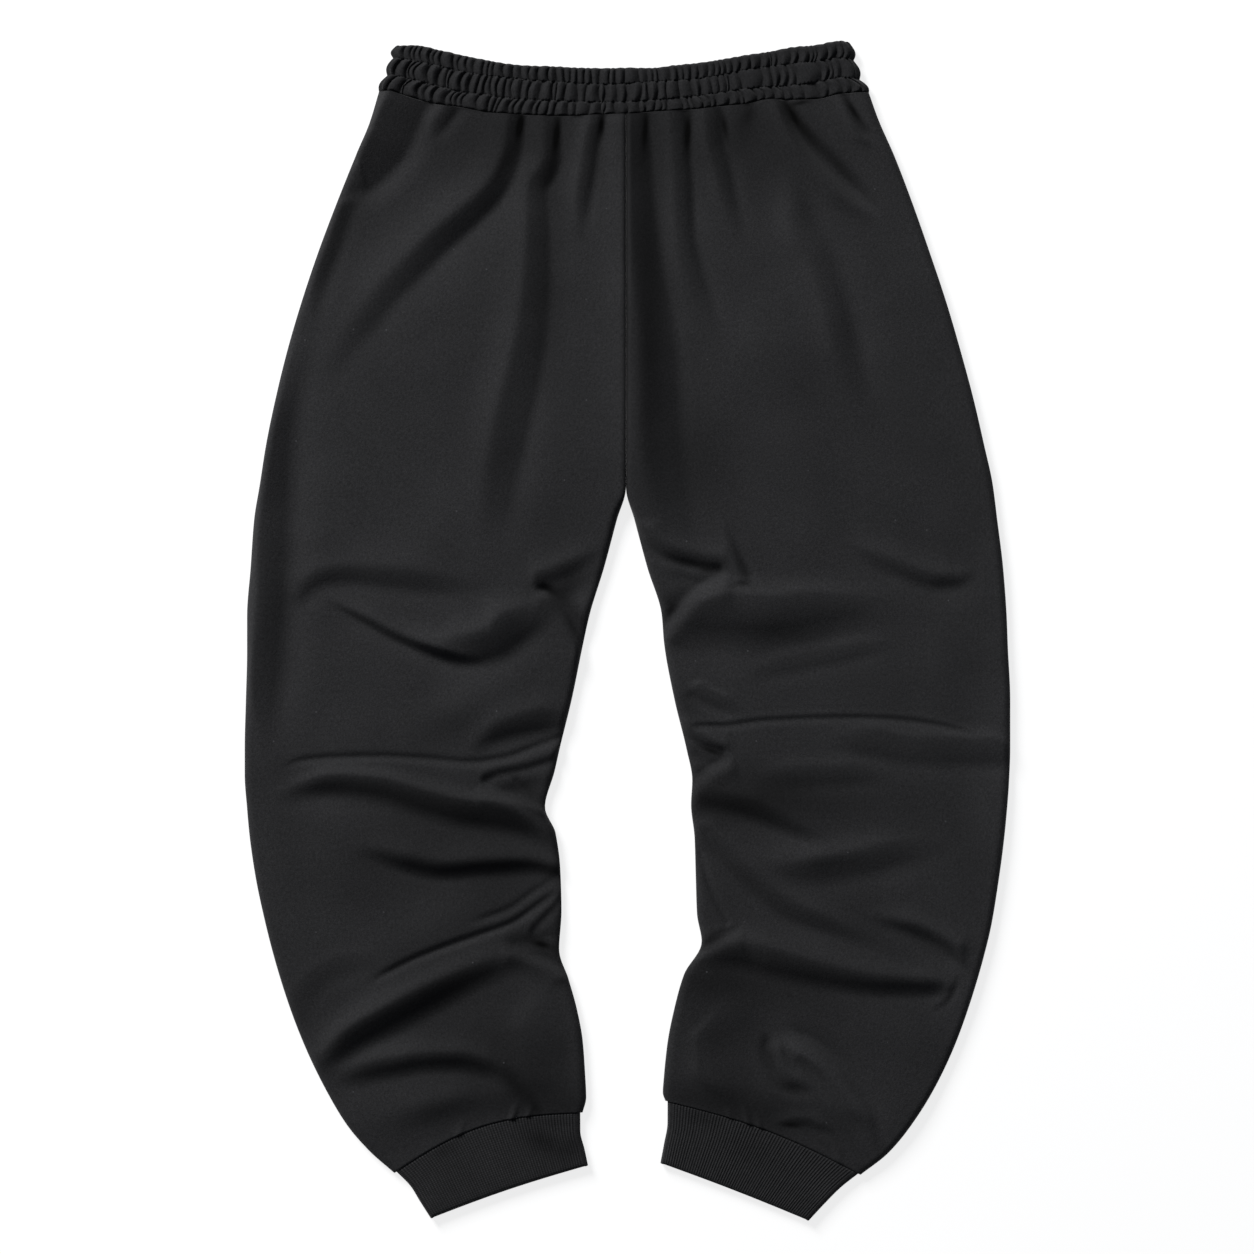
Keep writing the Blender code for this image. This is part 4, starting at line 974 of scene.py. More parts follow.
def paired_sheets(columns: int, rows: int, coarse: int) -> Mesh:
    """Two grids, one above the other, joined round their borders as a closed shell.

    Args:
        columns: Cells across the outside.
        rows: Cells along the outside.
        coarse: How many of them one cell of the inside spans, each way.

    Returns:
        The shell, from -1 to 1 both ways, with the outside at z = 1 and the inside at z = -1.
    """
    mesh = bmesh.new()
    for height, share in ((1.0, 1), (-1.0, coarse)):
        bmesh.ops.create_grid(
            mesh, x_segments=columns // share, y_segments=rows // share, size=1.0,
            matrix=Matrix.Translation((0.0, 0.0, height)),
        )
    if coarse > 1:
        rim = [edge for edge in mesh.edges if edge.is_boundary and edge.verts[0].co.z < 0.0]
        bmesh.ops.subdivide_edges(mesh, edges=rim, cuts=coarse - 1)
    rims = [edge for edge in mesh.edges if edge.is_boundary]
    bmesh.ops.bridge_loops(mesh, edges=rims)
    return mesh


def move_vertices(mesh: Mesh, places: Array, across: Array, along: Array, nap: Array) -> None:
    """Moves the vertices to their places, and notes where on the cloth each one lies.

    Args:
        mesh: The mesh, still flat.
        places: A place in millimetres for each vertex.
        across: The way across the cloth's grain for each vertex, in millimetres.
        along: The way along it.
        nap: The painted shade and light at each vertex.
    """
    for vert, place in zip(mesh.verts, places * MM):
        vert.co = place
    for name, values in ((ACROSS, across * MM), (ALONG, along * MM), (PAINTED_SHADE, nap)):
        layer = mesh.verts.layers.float.new(name)
        for vert, value in zip(mesh.verts, values):
            vert[layer] = value


def add_object(name: str, mesh: Mesh, finish: "Finish") -> bpy.types.Object:
    """Puts a finished mesh into the scene as a smooth object, and frees the mesh.

    Args:
        name: The name of the object and of its data.
        mesh: The mesh, in metres.
        finish: What the object is made of.

    Returns:
        The new object.
    """
    data = bpy.data.meshes.new(name)
    mesh.to_mesh(data)
    mesh.free()
    data.shade_smooth()
    data.materials.append(finish.material())
    thing = bpy.data.objects.new(name, data)
    bpy.context.scene.collection.objects.link(thing)
    return thing


@dataclass
class ClothPiece:
    """One sewn piece of cloth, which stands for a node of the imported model."""

    name: str
    node: str
    slot: Slot
    finish: "Finish"
    cut: Pair
    cut_area: float | None
    held: str = "laid"
    sharp_angle: float = 62.0

    def build(self) -> Mesh:
        """Models the piece; each kind of piece has its own way."""
        raise NotImplementedError

    def dress(self) -> bpy.types.Object:
        """Turns the mesh into a finished object with its cloth and its body, and hides the node it stands
        for.
        """
        mesh = self.build()
        bmesh.ops.recalc_face_normals(mesh, faces=mesh.faces)
        if mesh.calc_volume(signed=True) < 0.0:
            bmesh.ops.reverse_faces(mesh, faces=mesh.faces)
        piece = add_object(self.name, mesh, self.finish)
        piece.data.set_sharp_from_angle(angle=math.radians(self.sharp_angle))
        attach(piece, "root")
        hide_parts(self.node)
        triangles = sum(len(face.vertices) - 2 for face in piece.data.polygons)
        log.info("%s: %d triangles", self.name, triangles)
        return piece


@dataclass
class LegPanel(ClothPiece):
    """A leg panel: a grid of the leg's plan with dense columns where its edges roll."""

    leg: LegPlan = None
    columns: int = 160
    rows: int = 544
    coarse: int = 4
    edge_columns: int = 9
    edge_width: float = 9.0
    edge_gather: float = 1.5
    seam_rows: int = 5
    seam_width: float = 4.0
    thigh_share: float = 0.37
    thigh_rows: float = 0.32

    def across_share(self, column: Array, v: Array) -> Array:
        """The share across the leg for grid columns, close together near both edges."""
        edge = self.edge_width / self.leg.width(v)
        from_side = np.minimum(column, self.columns - column)
        step = np.minimum(from_side, self.edge_columns) / self.edge_columns
        near = edge * step**self.edge_gather
        plain = self.columns - 2 * self.edge_columns
        past = np.maximum(from_side - self.edge_columns, 0) / plain * (1.0 - 2.0 * edge)
        share = near + past
        return np.where(column <= self.columns / 2, share, 1.0 - share)

    def along_share(self, row: Array) -> Array:
        """The share down the leg for grid rows, close together at both seams."""
        seam = self.seam_width / self.leg.length
        thigh = self.rows * self.thigh_rows
        knots = (0, self.seam_rows, thigh, self.rows - self.seam_rows, self.rows)
        return np.interp(row, knots, (0.0, seam, self.thigh_share, 1.0 - seam, 1.0))

    def heights(self, place: Array, u: Array, v: Array) -> Array:
        """The outside of the panel before its long edges turn."""
        return self.leg.face_height(place, u, v)

    def build(self) -> Mesh:
        """The outside from the leg's heights, and the inside a wall's thickness below its lowest."""
        mesh = paired_sheets(self.columns, self.rows, self.coarse)
        column, row, lifted = grid_index(mesh, self.columns, self.rows)
        down = self.along_share(np.arange(self.rows + 1))
        v_grid = np.repeat(down[:, None], self.columns + 1, axis=1)
        column_grid = np.tile(np.arange(self.columns + 1), (self.rows + 1, 1))
        u_grid = self.across_share(column_grid.ravel(), v_grid.ravel())
        place_grid = self.leg.place(u_grid, v_grid.ravel())
        face_grid = self.heights(place_grid, u_grid, v_grid.ravel()).reshape(v_grid.shape)
        u = u_grid.reshape(v_grid.shape)[row, column]
        v = v_grid[row, column]
        outside = lifted > 0.0
        height = np.where(outside, face_grid[row, column], self.inside_grid(face_grid)[row, column])
        _, inward = self.leg.edge_turn(u, v)
        place = self.leg.place(np.where(outside, u, u + inward), v)
        height = self.leg.turned_down(height, u, v, self.rim())
        across = (u - 0.5) * self.leg.width(v)
        # Painted shade and light for each vertex
        nap = self.leg.painted_shading(place)
        move_vertices(mesh, np.column_stack([place, height]), across, v * self.leg.length, nap)
        return mesh

    def inside_grid(self, face: Array) -> Array:
        """The inside's heights: below everything that its wide cells pass under."""
        return np.maximum(lowest_near(face, self.coarse - 1) - WALL, FLOOR_CLEARANCE)

    def rim(self) -> float:
        """The height of the rim that meets the other panel."""
        return SEAM_HEIGHT + SEAM_GAP / 2


@dataclass
class FrontPanel(LegPanel):
    """The panel that lies under a leg, flat on the floor but for a few pressed creases."""

    columns: int = 72
    rows: int = 216
    coarse: int = 1
    creases: tuple[Fold, ...] = ()
    deepest: float = 0.9

    def heights(self, place: Array, u: Array, v: Array) -> Array:
        """The underside: on the floor, and a little above it along the creases."""
        height = np.zeros(len(place))
        for crease in self.creases:
            crease.lift(place, height)
        return np.clip(height, 0.0, self.deepest)

    def inside_grid(self, face: Array) -> Array:
        """The inside stays level over the creases."""
        return np.full_like(face, WALL)

    def rim(self) -> float:
        """The height of the rim that meets the back panel."""
        return SEAM_HEIGHT - SEAM_GAP / 2


@dataclass
class FlatTube(ClothPiece):
    """A tube of cloth folded flat, made of one grid wrapped round it and over both its rims.

    A section through it has a lower wall, a hollow and an upper wall up to the face, and its ends
    are half ellipses.
    """

    lower_wall: float = 4.0
    hollow: float = 1.0
    face: float = 9.0
    end: float = 4.0
    upper_columns: int = 400
    lower_columns: int = 200
    end_columns: int = 8
    inner_rows: int = 3
    inner_end_share: float = 0.6
    furrow_reach: int = 6
    furrow_depth: float = 2.4
    # Painted shade in the furrows, and patches of painted shade and light
    painted_furrow_dark: float = 0.0
    nap: tuple[PaintedShadingPatch, ...] = ()

    def levels(self) -> Array:
        """Shares from the first line of the tube to its last for the rows of the outside."""
        raise NotImplementedError

    def plan(self, share: Array, level: Array) -> Array:
        """Plan points for every level (rows) and share (columns)."""
        raise NotImplementedError

    def relief(self, place: Array, level: Array, height: Array, layer: Array) -> Array:
        """The outside's heights with the form that lies over the plain section."""
        raise NotImplementedError

    def build(self) -> Mesh:
        """Wraps the grid, and merges its two pairs of borders."""
        share, angle, layer = self.columns_round()
        level = self.levels()
        inner = np.linspace(1.0, 0.0, self.inner_rows + 1)
        outside = self.section(share, angle, layer, level, inside=False)
        inside = self.section(share, angle, layer, inner, inside=True)
        points = np.concatenate([outside, inside, outside[:1]])
        rows, columns = points.shape[0] - 1, points.shape[1] - 1
        mesh = bmesh.new()
        bmesh.ops.create_grid(mesh, x_segments=columns, y_segments=rows, size=1.0)
        column, row, _ = grid_index(mesh, columns, rows)
        across = self.across_cloth(points)
        length = np.linalg.norm(points[0, 0, :2] - points[len(level) - 1, 0, :2])
        along = np.concatenate([level, inner, [0.0]]) * length
        # Painted shade in the furrows, then the patches of painted shade and light
        nap = self.painted_furrow_shade(points)[row, column]
        for patch in self.nap:
            patch.lay(points[row, column], nap)
        move_vertices(mesh, points[row, column], across[column], along[row], nap)
        bmesh.ops.remove_doubles(mesh, verts=mesh.verts, dist=SAME_PLACE * MM)
        return mesh

    def painted_furrow_shade(self, points: Array) -> Array:
        """How much painted shade lies down in the furrows, for each row and column."""
        height = points[:, :, 2]
        crest = height.copy()
        for step in range(1, self.furrow_reach + 1):
            for way in (step, -step):
                crest = np.maximum(crest, np.roll(height, way, axis=1))
        return -self.painted_furrow_dark * np.clip((crest - height) / self.furrow_depth, 0.0, 1.0)

    def across_cloth(self, points: Array) -> Array:
        """The way round the tube for each column, in millimetres."""
        span = np.linalg.norm(np.diff(points[0, :, :2], axis=0), axis=1)
        return np.concatenate([[0.0], np.cumsum(span)])

    def columns_round(self) -> tuple[Array, Array, Array]:
        """The grid's columns round the tube: share across, angle of the section, and layer."""
        turn = np.linspace(90.0, -90.0, self.end_columns + 1)[1:-1]
        upper = np.linspace(0.0, 1.0, self.upper_columns + 1)
        lower = np.linspace(1.0, 0.0, self.lower_columns + 1)
        ends = np.full(len(turn), Layer.END.value)
        share = np.concatenate([upper, np.ones(len(turn)), lower, np.zeros(len(turn)), upper[:1]])
        angle = np.concatenate(
            [np.full(len(upper), 90.0), turn, np.full(len(lower), -90.0), 180.0 - turn[::-1], [90.0]]
        )
        layer = np.concatenate(
            [
                np.full(len(upper), Layer.UPPER.value), ends,
                np.full(len(lower), Layer.LOWER.value), ends, [Layer.UPPER.value],
            ]
        )
        return share, angle, layer

    def section(
        self, share: Array, angle: Array, layer: Array, level: Array, inside: bool
    ) -> Array:
        """Points of the outside or the inside, a row for each level.

        Args:
            share: The share across of each column.
            angle: The angle of each column in a section through the tube, in degrees.
            layer: The layer of each column.
            level: The levels of the rows.
            inside: Whether the wall's inside is wanted.

        Returns:
            Points by row and column, in millimetres.
        """
        corners = self.plan(np.array([0.0, 1.0]), np.array([0.5]))[0]
        width = np.linalg.norm(corners[1] - corners[0])
        inset = self.end / width
        end = self.end - (min(WALL, self.end * self.inner_end_share) if inside else 0.0)
        turn = np.radians(angle)
        across = inset + (1.0 - 2.0 * inset) * share
        across += np.where(layer == Layer.END.value, end / width * np.cos(turn), 0.0)
        place = self.plan(across, level)
        low = self.lower_wall if inside else 0.0
        high = self.lower_wall + self.hollow if inside else self.face
        height = (high + low) / 2 + (high - low) / 2 * np.sin(turn)
        height = np.repeat(height[None, :], len(level), axis=0)
        if not inside:
            height = self.relief(place, level, height, layer)
        return np.concatenate([place, height[..., None]], axis=2)


@dataclass(frozen=True)
class PuffRow:
    """A row of gathered puffs between two lines of stitches, with a furrow after each puff.

    Attributes:
        seed: What the puffs are drawn from.
        typical: The usual width of a puff.
        spread: How much the widths differ, as a share of it.
        lean: How far a furrow's foot strays from under its head.
        splay: How far the feet spread away from the centre seam.
        wander: How far a furrow bends between its head and its foot.
        height: How high a usual puff stands.
        kept: Where the puffs start and end whose places are listed.
        sizes: The least and the greatest height, as shares of the usual one.
        skews: How far a crest may stand to one side.
        fullnesses: How round or pinched a puff may be.
        width_shares: The widths beyond which a puff gets no lower and no higher.
        width_power: How much the height follows the width.
    """

    seed: int
    typical: float
    spread: float
    lean: float
    splay: float
    wander: float
    height: float
    kept: tuple[Pair, ...]
    sizes: Pair = (0.66, 1.18)
    skews: Pair = (0.65, 1.4)
    fullnesses: Pair = (0.7, 1.2)
    width_shares: Pair = (0.35, 1.25)
    width_power: float = 0.6

    def furrows(self, left: float, right: float) -> tuple[Array, Array, Array]:
        """Draws the furrows from one end of the row to the other.

        Args:
            left: Where the row starts.
            right: Where it ends.

        Returns:
            Each furrow's x at the head and at the foot of the row, and how far it wanders between.
        """
        draw = np.random.default_rng(self.seed)
        edges = [left, *(x for puff in self.kept for x in puff), right]
        heads = [np.array([left])]
        for start, end in zip(edges[:-1], edges[1:]):
            if (start, end) in self.kept:
                heads.append(np.array([end]))
            elif end > start:
                count = max(1, round((end - start) / self.typical))
                widths = draw.uniform(1.0 - self.spread, 1.0 + self.spread, count)
                heads.append(start + np.cumsum(widths) / widths.sum() * (end - start))
        head = np.concatenate(heads)
        shift = draw.uniform(-self.lean, self.lean, len(head))
        shift += self.splay * np.tanh((head - CENTRE_X) / SPLAY_REACH)
        wander = draw.uniform(-self.wander, self.wander, len(head))
        ends = [0, len(head) - 1]
        shift[ends] = 0.0
        wander[ends] = 0.0
        return head, np.maximum.accumulate(head + shift), wander

    def swell(self, x: Array, share: float, left: float, right: float) -> tuple[Array, Array]:
        """The puffs across one line of the row.

        Args:
            x: Places along the line.
            share: How far down the row the line lies, from 0 to 1.
            left: Where the row starts.
            right: Where it ends.

        Returns:
            For each place 0 in a furrow and 1 on a crest, and how large the puff is.
        """
        head, foot, wander = self.furrows(left, right)
        line = head + (foot - head) * share + wander * math.sin(math.pi * share)
        line = np.maximum.accumulate(line + np.arange(len(line)) * LEAST_FURROW_STEP)
        index = np.clip(np.searchsorted(line, x), 1, len(line) - 1)
        width = line[index] - line[index - 1]
        way = np.clip((x - line[index - 1]) / width, 0.0, 1.0)
        fullness = PINCHED_FULLNESS + (PUFF_FULLNESS - PINCHED_FULLNESS) * math.sin(math.pi * share)
        draw = np.random.default_rng(self.seed + 1)
        size = draw.uniform(*self.sizes, len(line))[index]
        skew = draw.uniform(*self.skews, len(line))[index]
        fullness = fullness * draw.uniform(*self.fullnesses, len(line))[index]
        crest = 1.0 - np.abs(2.0 * way**skew - 1.0) ** fullness
        return crest, size * np.clip(width / self.typical, *self.width_shares) ** self.width_power


@dataclass
class Waistband(FlatTube):
    """The waistband: a doubled band shirred over elastic by two lines of stitches."""

    lower_wall: float = 4.2
    hollow: float = 1.2
    face: float = 8.4
    end: float = 4.2
    upper_columns: int = 760
    lower_columns: int = 190
    rows_each: int = 21
    row_easing: float = 0.5
    left_x: tuple[float, ...] = (-197.0, -199.0, -204.0, -211.0)
    right_x: tuple[float, ...] = (189.0, 192.0, 197.0, 205.0)
    end_bulge: float = 3.0
    body: float = 0.5
    pinch: float = 0.5
    pinched_share: float = 0.72
    pucker: float = 0.9
    pucker_reach: float = 0.11
    pucker_width: float = 1.3
    pucker_gaps: Pair = (2.4, 5.4)
    pucker_count: int = 160
    pucker_seed: int = 5
    scallop: float = 0.5
    scallop_level: float = 0.6
    scallop_reach: float = 0.5
    rim_turn: float = 2.6
    rim_height: float = 7.4
    seam_turn: float = 1.8
    seam_height: float = 8.2
    under_puff: float = 0.8
    # How dark the painted shade in the furrows gets
    painted_furrow_dark: float = 0.32
    end_fade: float = 3.5
    puff_rows: tuple[PuffRow, ...] = ()

    def levels(self) -> Array:
        """Rows that stand closer together at the stitches and at the rims."""
        step = np.arange(self.rows_each) / self.rows_each
        eased = eased_steps(step, self.row_easing)
        rows = len(self.puff_rows)
        return np.concatenate([*((row + eased) / rows for row in range(rows)), [1.0]])

    def rows_down(self, level: Array) -> Array:
        """How far down the band these levels lie, in rows of puffs, just short of the last end."""
        rows = len(self.puff_rows)
        return np.clip(level * rows, 0.0, rows - SHORT_OF_END)

    def ends_at(self, level: Array) -> tuple[Array, Array]:
        """Where the band's two folded ends lie at each level."""
        lines = np.linspace(0.0, 1.0, len(self.left_x))
        bulge = self.end_bulge * np.abs(np.sin(math.pi * level * len(self.puff_rows)))
        left = np.interp(level, lines, self.left_x) - bulge
        return left, np.interp(level, lines, self.right_x) + bulge

    def plan(self, share: Array, level: Array) -> Array:
        """Plan points between the open edge, at level 0, and the waist seam, at level 1."""
        left, right = self.ends_at(level)
        x = left[:, None] + (right - left)[:, None] * share[None, :]
        lines = BAND_LINES.at(x)
        along = self.rows_down(level)
        row = along.astype(int)
        part = (along - row)[:, None]
        index = np.arange(len(level))
        upper = lines[index, :, row]
        lower = lines[index, :, row + 1]
        y = upper + (lower - upper) * part + SEAM_GAP / 2 * level[:, None]
        y += self.scallop * self.edge_scallop(x, level)
        return np.stack([x, y], axis=2)

    def edge_scallop(self, x: Array, level: Array) -> Array:
        """How the open edge swells over the puffs and dips at the furrows."""
        first = self.puff_rows[0]
        crest, size = first.swell(x.ravel(), 0.0, self.left_x[0], self.right_x[0])
        swing = (crest * size - self.scallop_level).reshape(x.shape)
        fade = np.clip(1.0 - level * len(self.puff_rows) / self.scallop_reach, 0.0, 1.0)
        return swing * fade[:, None]

    def relief(self, place: Array, level: Array, height: Array, layer: Array) -> Array:
        """Raises the puffs on the upper layer and presses shallow ones into the lower layer."""
        upper = layer == Layer.UPPER.value
        lower = layer == Layer.LOWER.value
        for index, step in enumerate(level):
            along = float(self.rows_down(step))
            row = self.puff_rows[int(along)]
            share = along - int(along)
            left, right = (float(side[0]) for side in self.ends_at(np.array([step])))
            x = place[index, :, 0]
            first, last = self.left_x[int(along)], self.right_x[int(along)]
            spread = first + (x - left) / (right - left) * (last - first)
            crest, size = row.swell(spread, share, first, last)
            full = math.sin(math.pi * share) ** self.pinch
            full = self.pinched_share + (1.0 - self.pinched_share) * full
            near_end = smooth_step(np.minimum(x - left, right - x) / self.end_fade)
            full_here = full * near_end
            puff = self.body * full_here + row.height * size * crest * full_here
            puff -= self.puckers(x, along) * near_end
            top = self.rim_drop(height[index] + puff, step)
            height[index] = np.where(upper, top, height[index])
            pressed = self.under_puff * (1.0 - crest * full_here) * near_end
            height[index] = np.where(lower, height[index] + pressed, height[index])
        return height

    def puckers(self, x: Array, along: float) -> Array:
        """The small dents that the stitches pull into the cloth on both sides of a line.

        Args:
            x: Places along the band.
            along: How far down the band they lie, in rows of puffs.

        Returns:
            How deep the dents are at each place.
        """
        line = round(along)
        if line in (0, len(self.puff_rows)):
            return np.zeros(len(x))
        draw = np.random.default_rng(self.pucker_seed + line)
        dents = np.cumsum(draw.uniform(*self.pucker_gaps, self.pucker_count)) + self.left_x[0]
        nearest = np.abs(x[:, None] - dents[None, :]).min(axis=1)
        near_line = smooth_step(np.array(1.0 - abs(along - line) / self.pucker_reach))
        return self.pucker * near_line * smooth_step(1.0 - nearest / self.pucker_width)

    def rim_drop(self, height: Array, level: float) -> Array:
        """Heights turned down over the open edge and towards the waist seam."""
        depth = self.depth()
        open_edge = quarter_turn(np.array(level * depth), self.rim_turn)
        seam = quarter_turn(np.array((1.0 - level) * depth), self.seam_turn)
        height = self.rim_height + (height - self.rim_height) * open_edge
        return self.seam_height + (height - self.seam_height) * seam

    def depth(self) -> float:
        """How deep the band is at its middle."""
        lines = BAND_LINES.at(np.array([CENTRE_X]))[0]
        return float(lines[0] - lines[SEAM_LINE])


@dataclass
class Cuff(FlatTube):
    """A rib knit cuff, doubled over at its hem and folded flat."""

    leg: LegPlan = None
    lines: tuple[CuffLine, ...] = ()
    seed: int = 0
    lower_wall: float = 2.8
    hollow: float = 0.8
    face: float = 7.2
    end: float = 3.2
    ribs: int = 62
    columns_each: int = 8
    outside_rows: int = 30
    row_easing: float = 0.6
    seam_trim: float = 0.012
    rib_height: float = 0.5
    rib_fullness: float = 0.8
    rib_strengths: Pair = (0.8, 1.12)
    under_rib: float = 0.5
    hem_turn: float = 3.0
    hem_height: float = 4.3
    seam_turn: float = 1.3
    seam_height: float = 6.8
    rib_fade: float = 5.0
    sway: float = 0.9
    sway_waves: int = 5
    end_fade: float = 6.0

    def __post_init__(self) -> None:
        """Sets the columns from the ribs."""
        self.upper_columns = self.ribs * self.columns_each
        self.lower_columns = self.ribs * self.columns_each // 2

    def levels(self) -> Array:
        """Rows that stand closer together at the seam and at the hem."""
        return eased_steps(np.linspace(0.0, 1.0, self.outside_rows + 1), self.row_easing)

    def plan(self, share: Array, level: Array) -> Array:
        """Plan points between the seam, at level 0, and the hem, at level 1."""
        seam_share = self.seam_trim + (1.0 - 2.0 * self.seam_trim) * share
        rows = [self.leg.cuff_seam(seam_share) - np.array([0.0, SEAM_GAP])]
        for line in self.lines:
            start, end = (line.inner_x, line.inner_y), (line.outer_x, line.outer_y)
            rows.append(bowed_line(start, end, line.bow, share))
        knots = np.linspace(0.0, 1.0, len(rows))
        flat = Curve([row.ravel() for row in rows], knots).at(level)
        points = flat.reshape(len(level), len(share), 2)
        return points + (points[:, -1:] - points[:, :1]) / self.ribs * self.sway_of(share, level)

    def sway_of(self, share: Array, level: Array) -> Array:
        """How far the ribs stray from straight lines, in ribs, for each level and share."""
        draw = np.random.default_rng(self.seed)
        total = np.zeros((len(level), len(share)))
        for wave in range(1, self.sway_waves + 1):
            start, lean = draw.uniform(0.0, 2 * math.pi, 2)
            total += np.sin(2 * math.pi * wave * share[None, :] + start + lean * level[:, None])
        fade = smooth_step(np.minimum(share, 1.0 - share) * self.ribs / self.end_fade)
        return (self.sway * total / self.sway_waves * fade[None, :])[:, :, None]

    def across_cloth(self, points: Array) -> Array:
        """The way across the knit, with one pitch for each rib on both layers."""
        upper = np.arange(self.upper_columns + 1) / self.columns_each
        rest = points.shape[1] - len(upper)
        lower = self.ribs + np.arange(1, rest + 1) / (self.columns_each // 2)
        return np.concatenate([upper, lower]) * RIB_PITCH

    def rib_wave(self) -> Array:
        """The ribs for each upper column: 1 on a rib and 0 between two."""
        draw = np.random.default_rng(self.seed + 1)
        column = np.arange(self.upper_columns + 1)
        wave = 0.5 - 0.5 * np.cos(2 * math.pi * column / self.columns_each)
        strength = draw.uniform(*self.rib_strengths, self.ribs + 1)[column // self.columns_each]
        return wave**self.rib_fullness * strength

    def relief(self, place: Array, level: Array, height: Array, layer: Array) -> Array:
        """Raises the ribs and rounds the hem and the seam side."""
        upper = np.flatnonzero(layer == Layer.UPPER.value)[:self.upper_columns + 1]
        lower = np.flatnonzero(layer == Layer.LOWER.value)
        wave = np.tile(self.rib_wave(), (len(level), 1))
        ends = np.minimum(np.arange(self.upper_columns + 1), np.arange(self.upper_columns, -1, -1))
        wave *= smooth_step(ends / self.columns_each)[None, :]
        length = np.linalg.norm(place[0, upper[0]] - place[-1, upper[0]])
        hem = quarter_turn((1.0 - level) * length, self.hem_turn)[:, None]
        seam = quarter_turn(level * length, self.seam_turn)[:, None]
        wave *= smooth_step((1.0 - level) * length / self.rib_fade)[:, None]
        top = height[:, upper] + self.rib_height * wave
        top = self.hem_height + (top - self.hem_height) * hem
        top = self.seam_height + (top - self.seam_height) * seam
        height[:, upper] = top
        under = wave[:, ::-1][:, ::2][:, :len(lower)]
        height[:, lower] += self.under_rib * (1.0 - under) * np.minimum(ends[::2], 1)[None, :]
        height[:, -1] = height[:, 0]
        return height


def linear(channel: float) -> float:
    """One sRGB channel, from 0 to 1, as linear light."""
    return channel / 12.92 if channel <= 0.04045 else ((channel + 0.055) / 1.055) ** 2.4


def colour(code: str) -> tuple[float, float, float, float]:
    """An sRGB hex code as a linear colour."""
    parts = [linear(int(code[at:at + 2], 16) / 255.0) for at in (0, 2, 4)]
    return (*parts, 1.0)


# Sockets of a mix node that mixes colours, which have no names of their own
FIRST_COLOUR = 6
SECOND_COLOUR = 7
MIXED_COLOUR = 2


def repeats_per_metre(size: float) -> float:
    """The scale of a pattern whose cells are this many millimetres wide."""
    return 1.0 / (size * MM)


def add_node(
    tree: Tree, kind: str, inputs: dict[str | int, object], **settings: object
) -> bpy.types.Node:
    """Adds a node to a material.

    Args:
        tree: The material's node tree.
        kind: The node's type.
        inputs: A value for each socket, or the output that is linked to it.
        settings: The node's own options.

    Returns:
        The new node.
    """
    node = tree.nodes.new(kind)
    for name, value in settings.items():
        setattr(node, name, value)
    for key, value in inputs.items():
        if isinstance(value, Socket):
            tree.links.new(value, node.inputs[key])
        else:
            node.inputs[key].default_value = value
    return node


def new_tree(name: str) -> bpy.types.Material:
    """A material with an empty node tree."""
    material = bpy.data.materials.new(name)
    material.use_nodes = True
    material.node_tree.nodes.clear()
    return material


def on_piece(tree: Tree) -> Socket:
    """A place on the piece, which moves with it."""
    return add_node(tree, "ShaderNodeTexCoord", {}).outputs["Object"]


def kept_on_cloth(tree: Tree, name: str) -> Socket:
    """A value that the mesh keeps at each of its vertices."""
    return add_node(tree, "ShaderNodeAttribute", {}, attribute_name=name).outputs["Fac"]


def maths(tree: Tree, operation: str, *values: Socket | float) -> Socket:
    """What a sum, a product or another step makes of these values."""
    return add_node(tree, "ShaderNodeMath", dict(enumerate(values)), operation=operation).outputs[0]


def ranged(tree: Tree, value: Socket, source: Pair, target: Pair) -> Socket:
    """A value moved from one range to another, and held within it."""
    inputs = {
        "Value": value, "From Min": source[0], "From Max": source[1],
        "To Min": target[0], "To Max": target[1],
    }
    return add_node(tree, "ShaderNodeMapRange", inputs).outputs[0]


def dyed(tree: Tree, dye: str, brightness: Socket) -> Socket:
    """A dye made lighter and darker by a brightness about 1."""
    inputs = {0: colour(dye)[:3], "Scale": brightness}
    return add_node(tree, "ShaderNodeVectorMath", inputs, operation="SCALE").outputs["Vector"]


def add_surface(tree: Tree, inputs: dict[str, object]) -> None:
    """Joins a shader with these inputs to the material's output."""
    shader = add_node(tree, "ShaderNodeBsdfPrincipled", inputs)
    add_node(tree, "ShaderNodeOutputMaterial", {"Surface": shader.outputs["BSDF"]})


@dataclass(frozen=True)
class Finish:
    """What a surface is made of and how it was made."""

    name: str

    def material(self) -> bpy.types.Material:
        """The finish as a material, made once and then shared."""
        return bpy.data.materials.get(self.name) or self.make()

    def make(self) -> bpy.types.Material:
        """Builds the material's nodes."""
        raise NotImplementedError


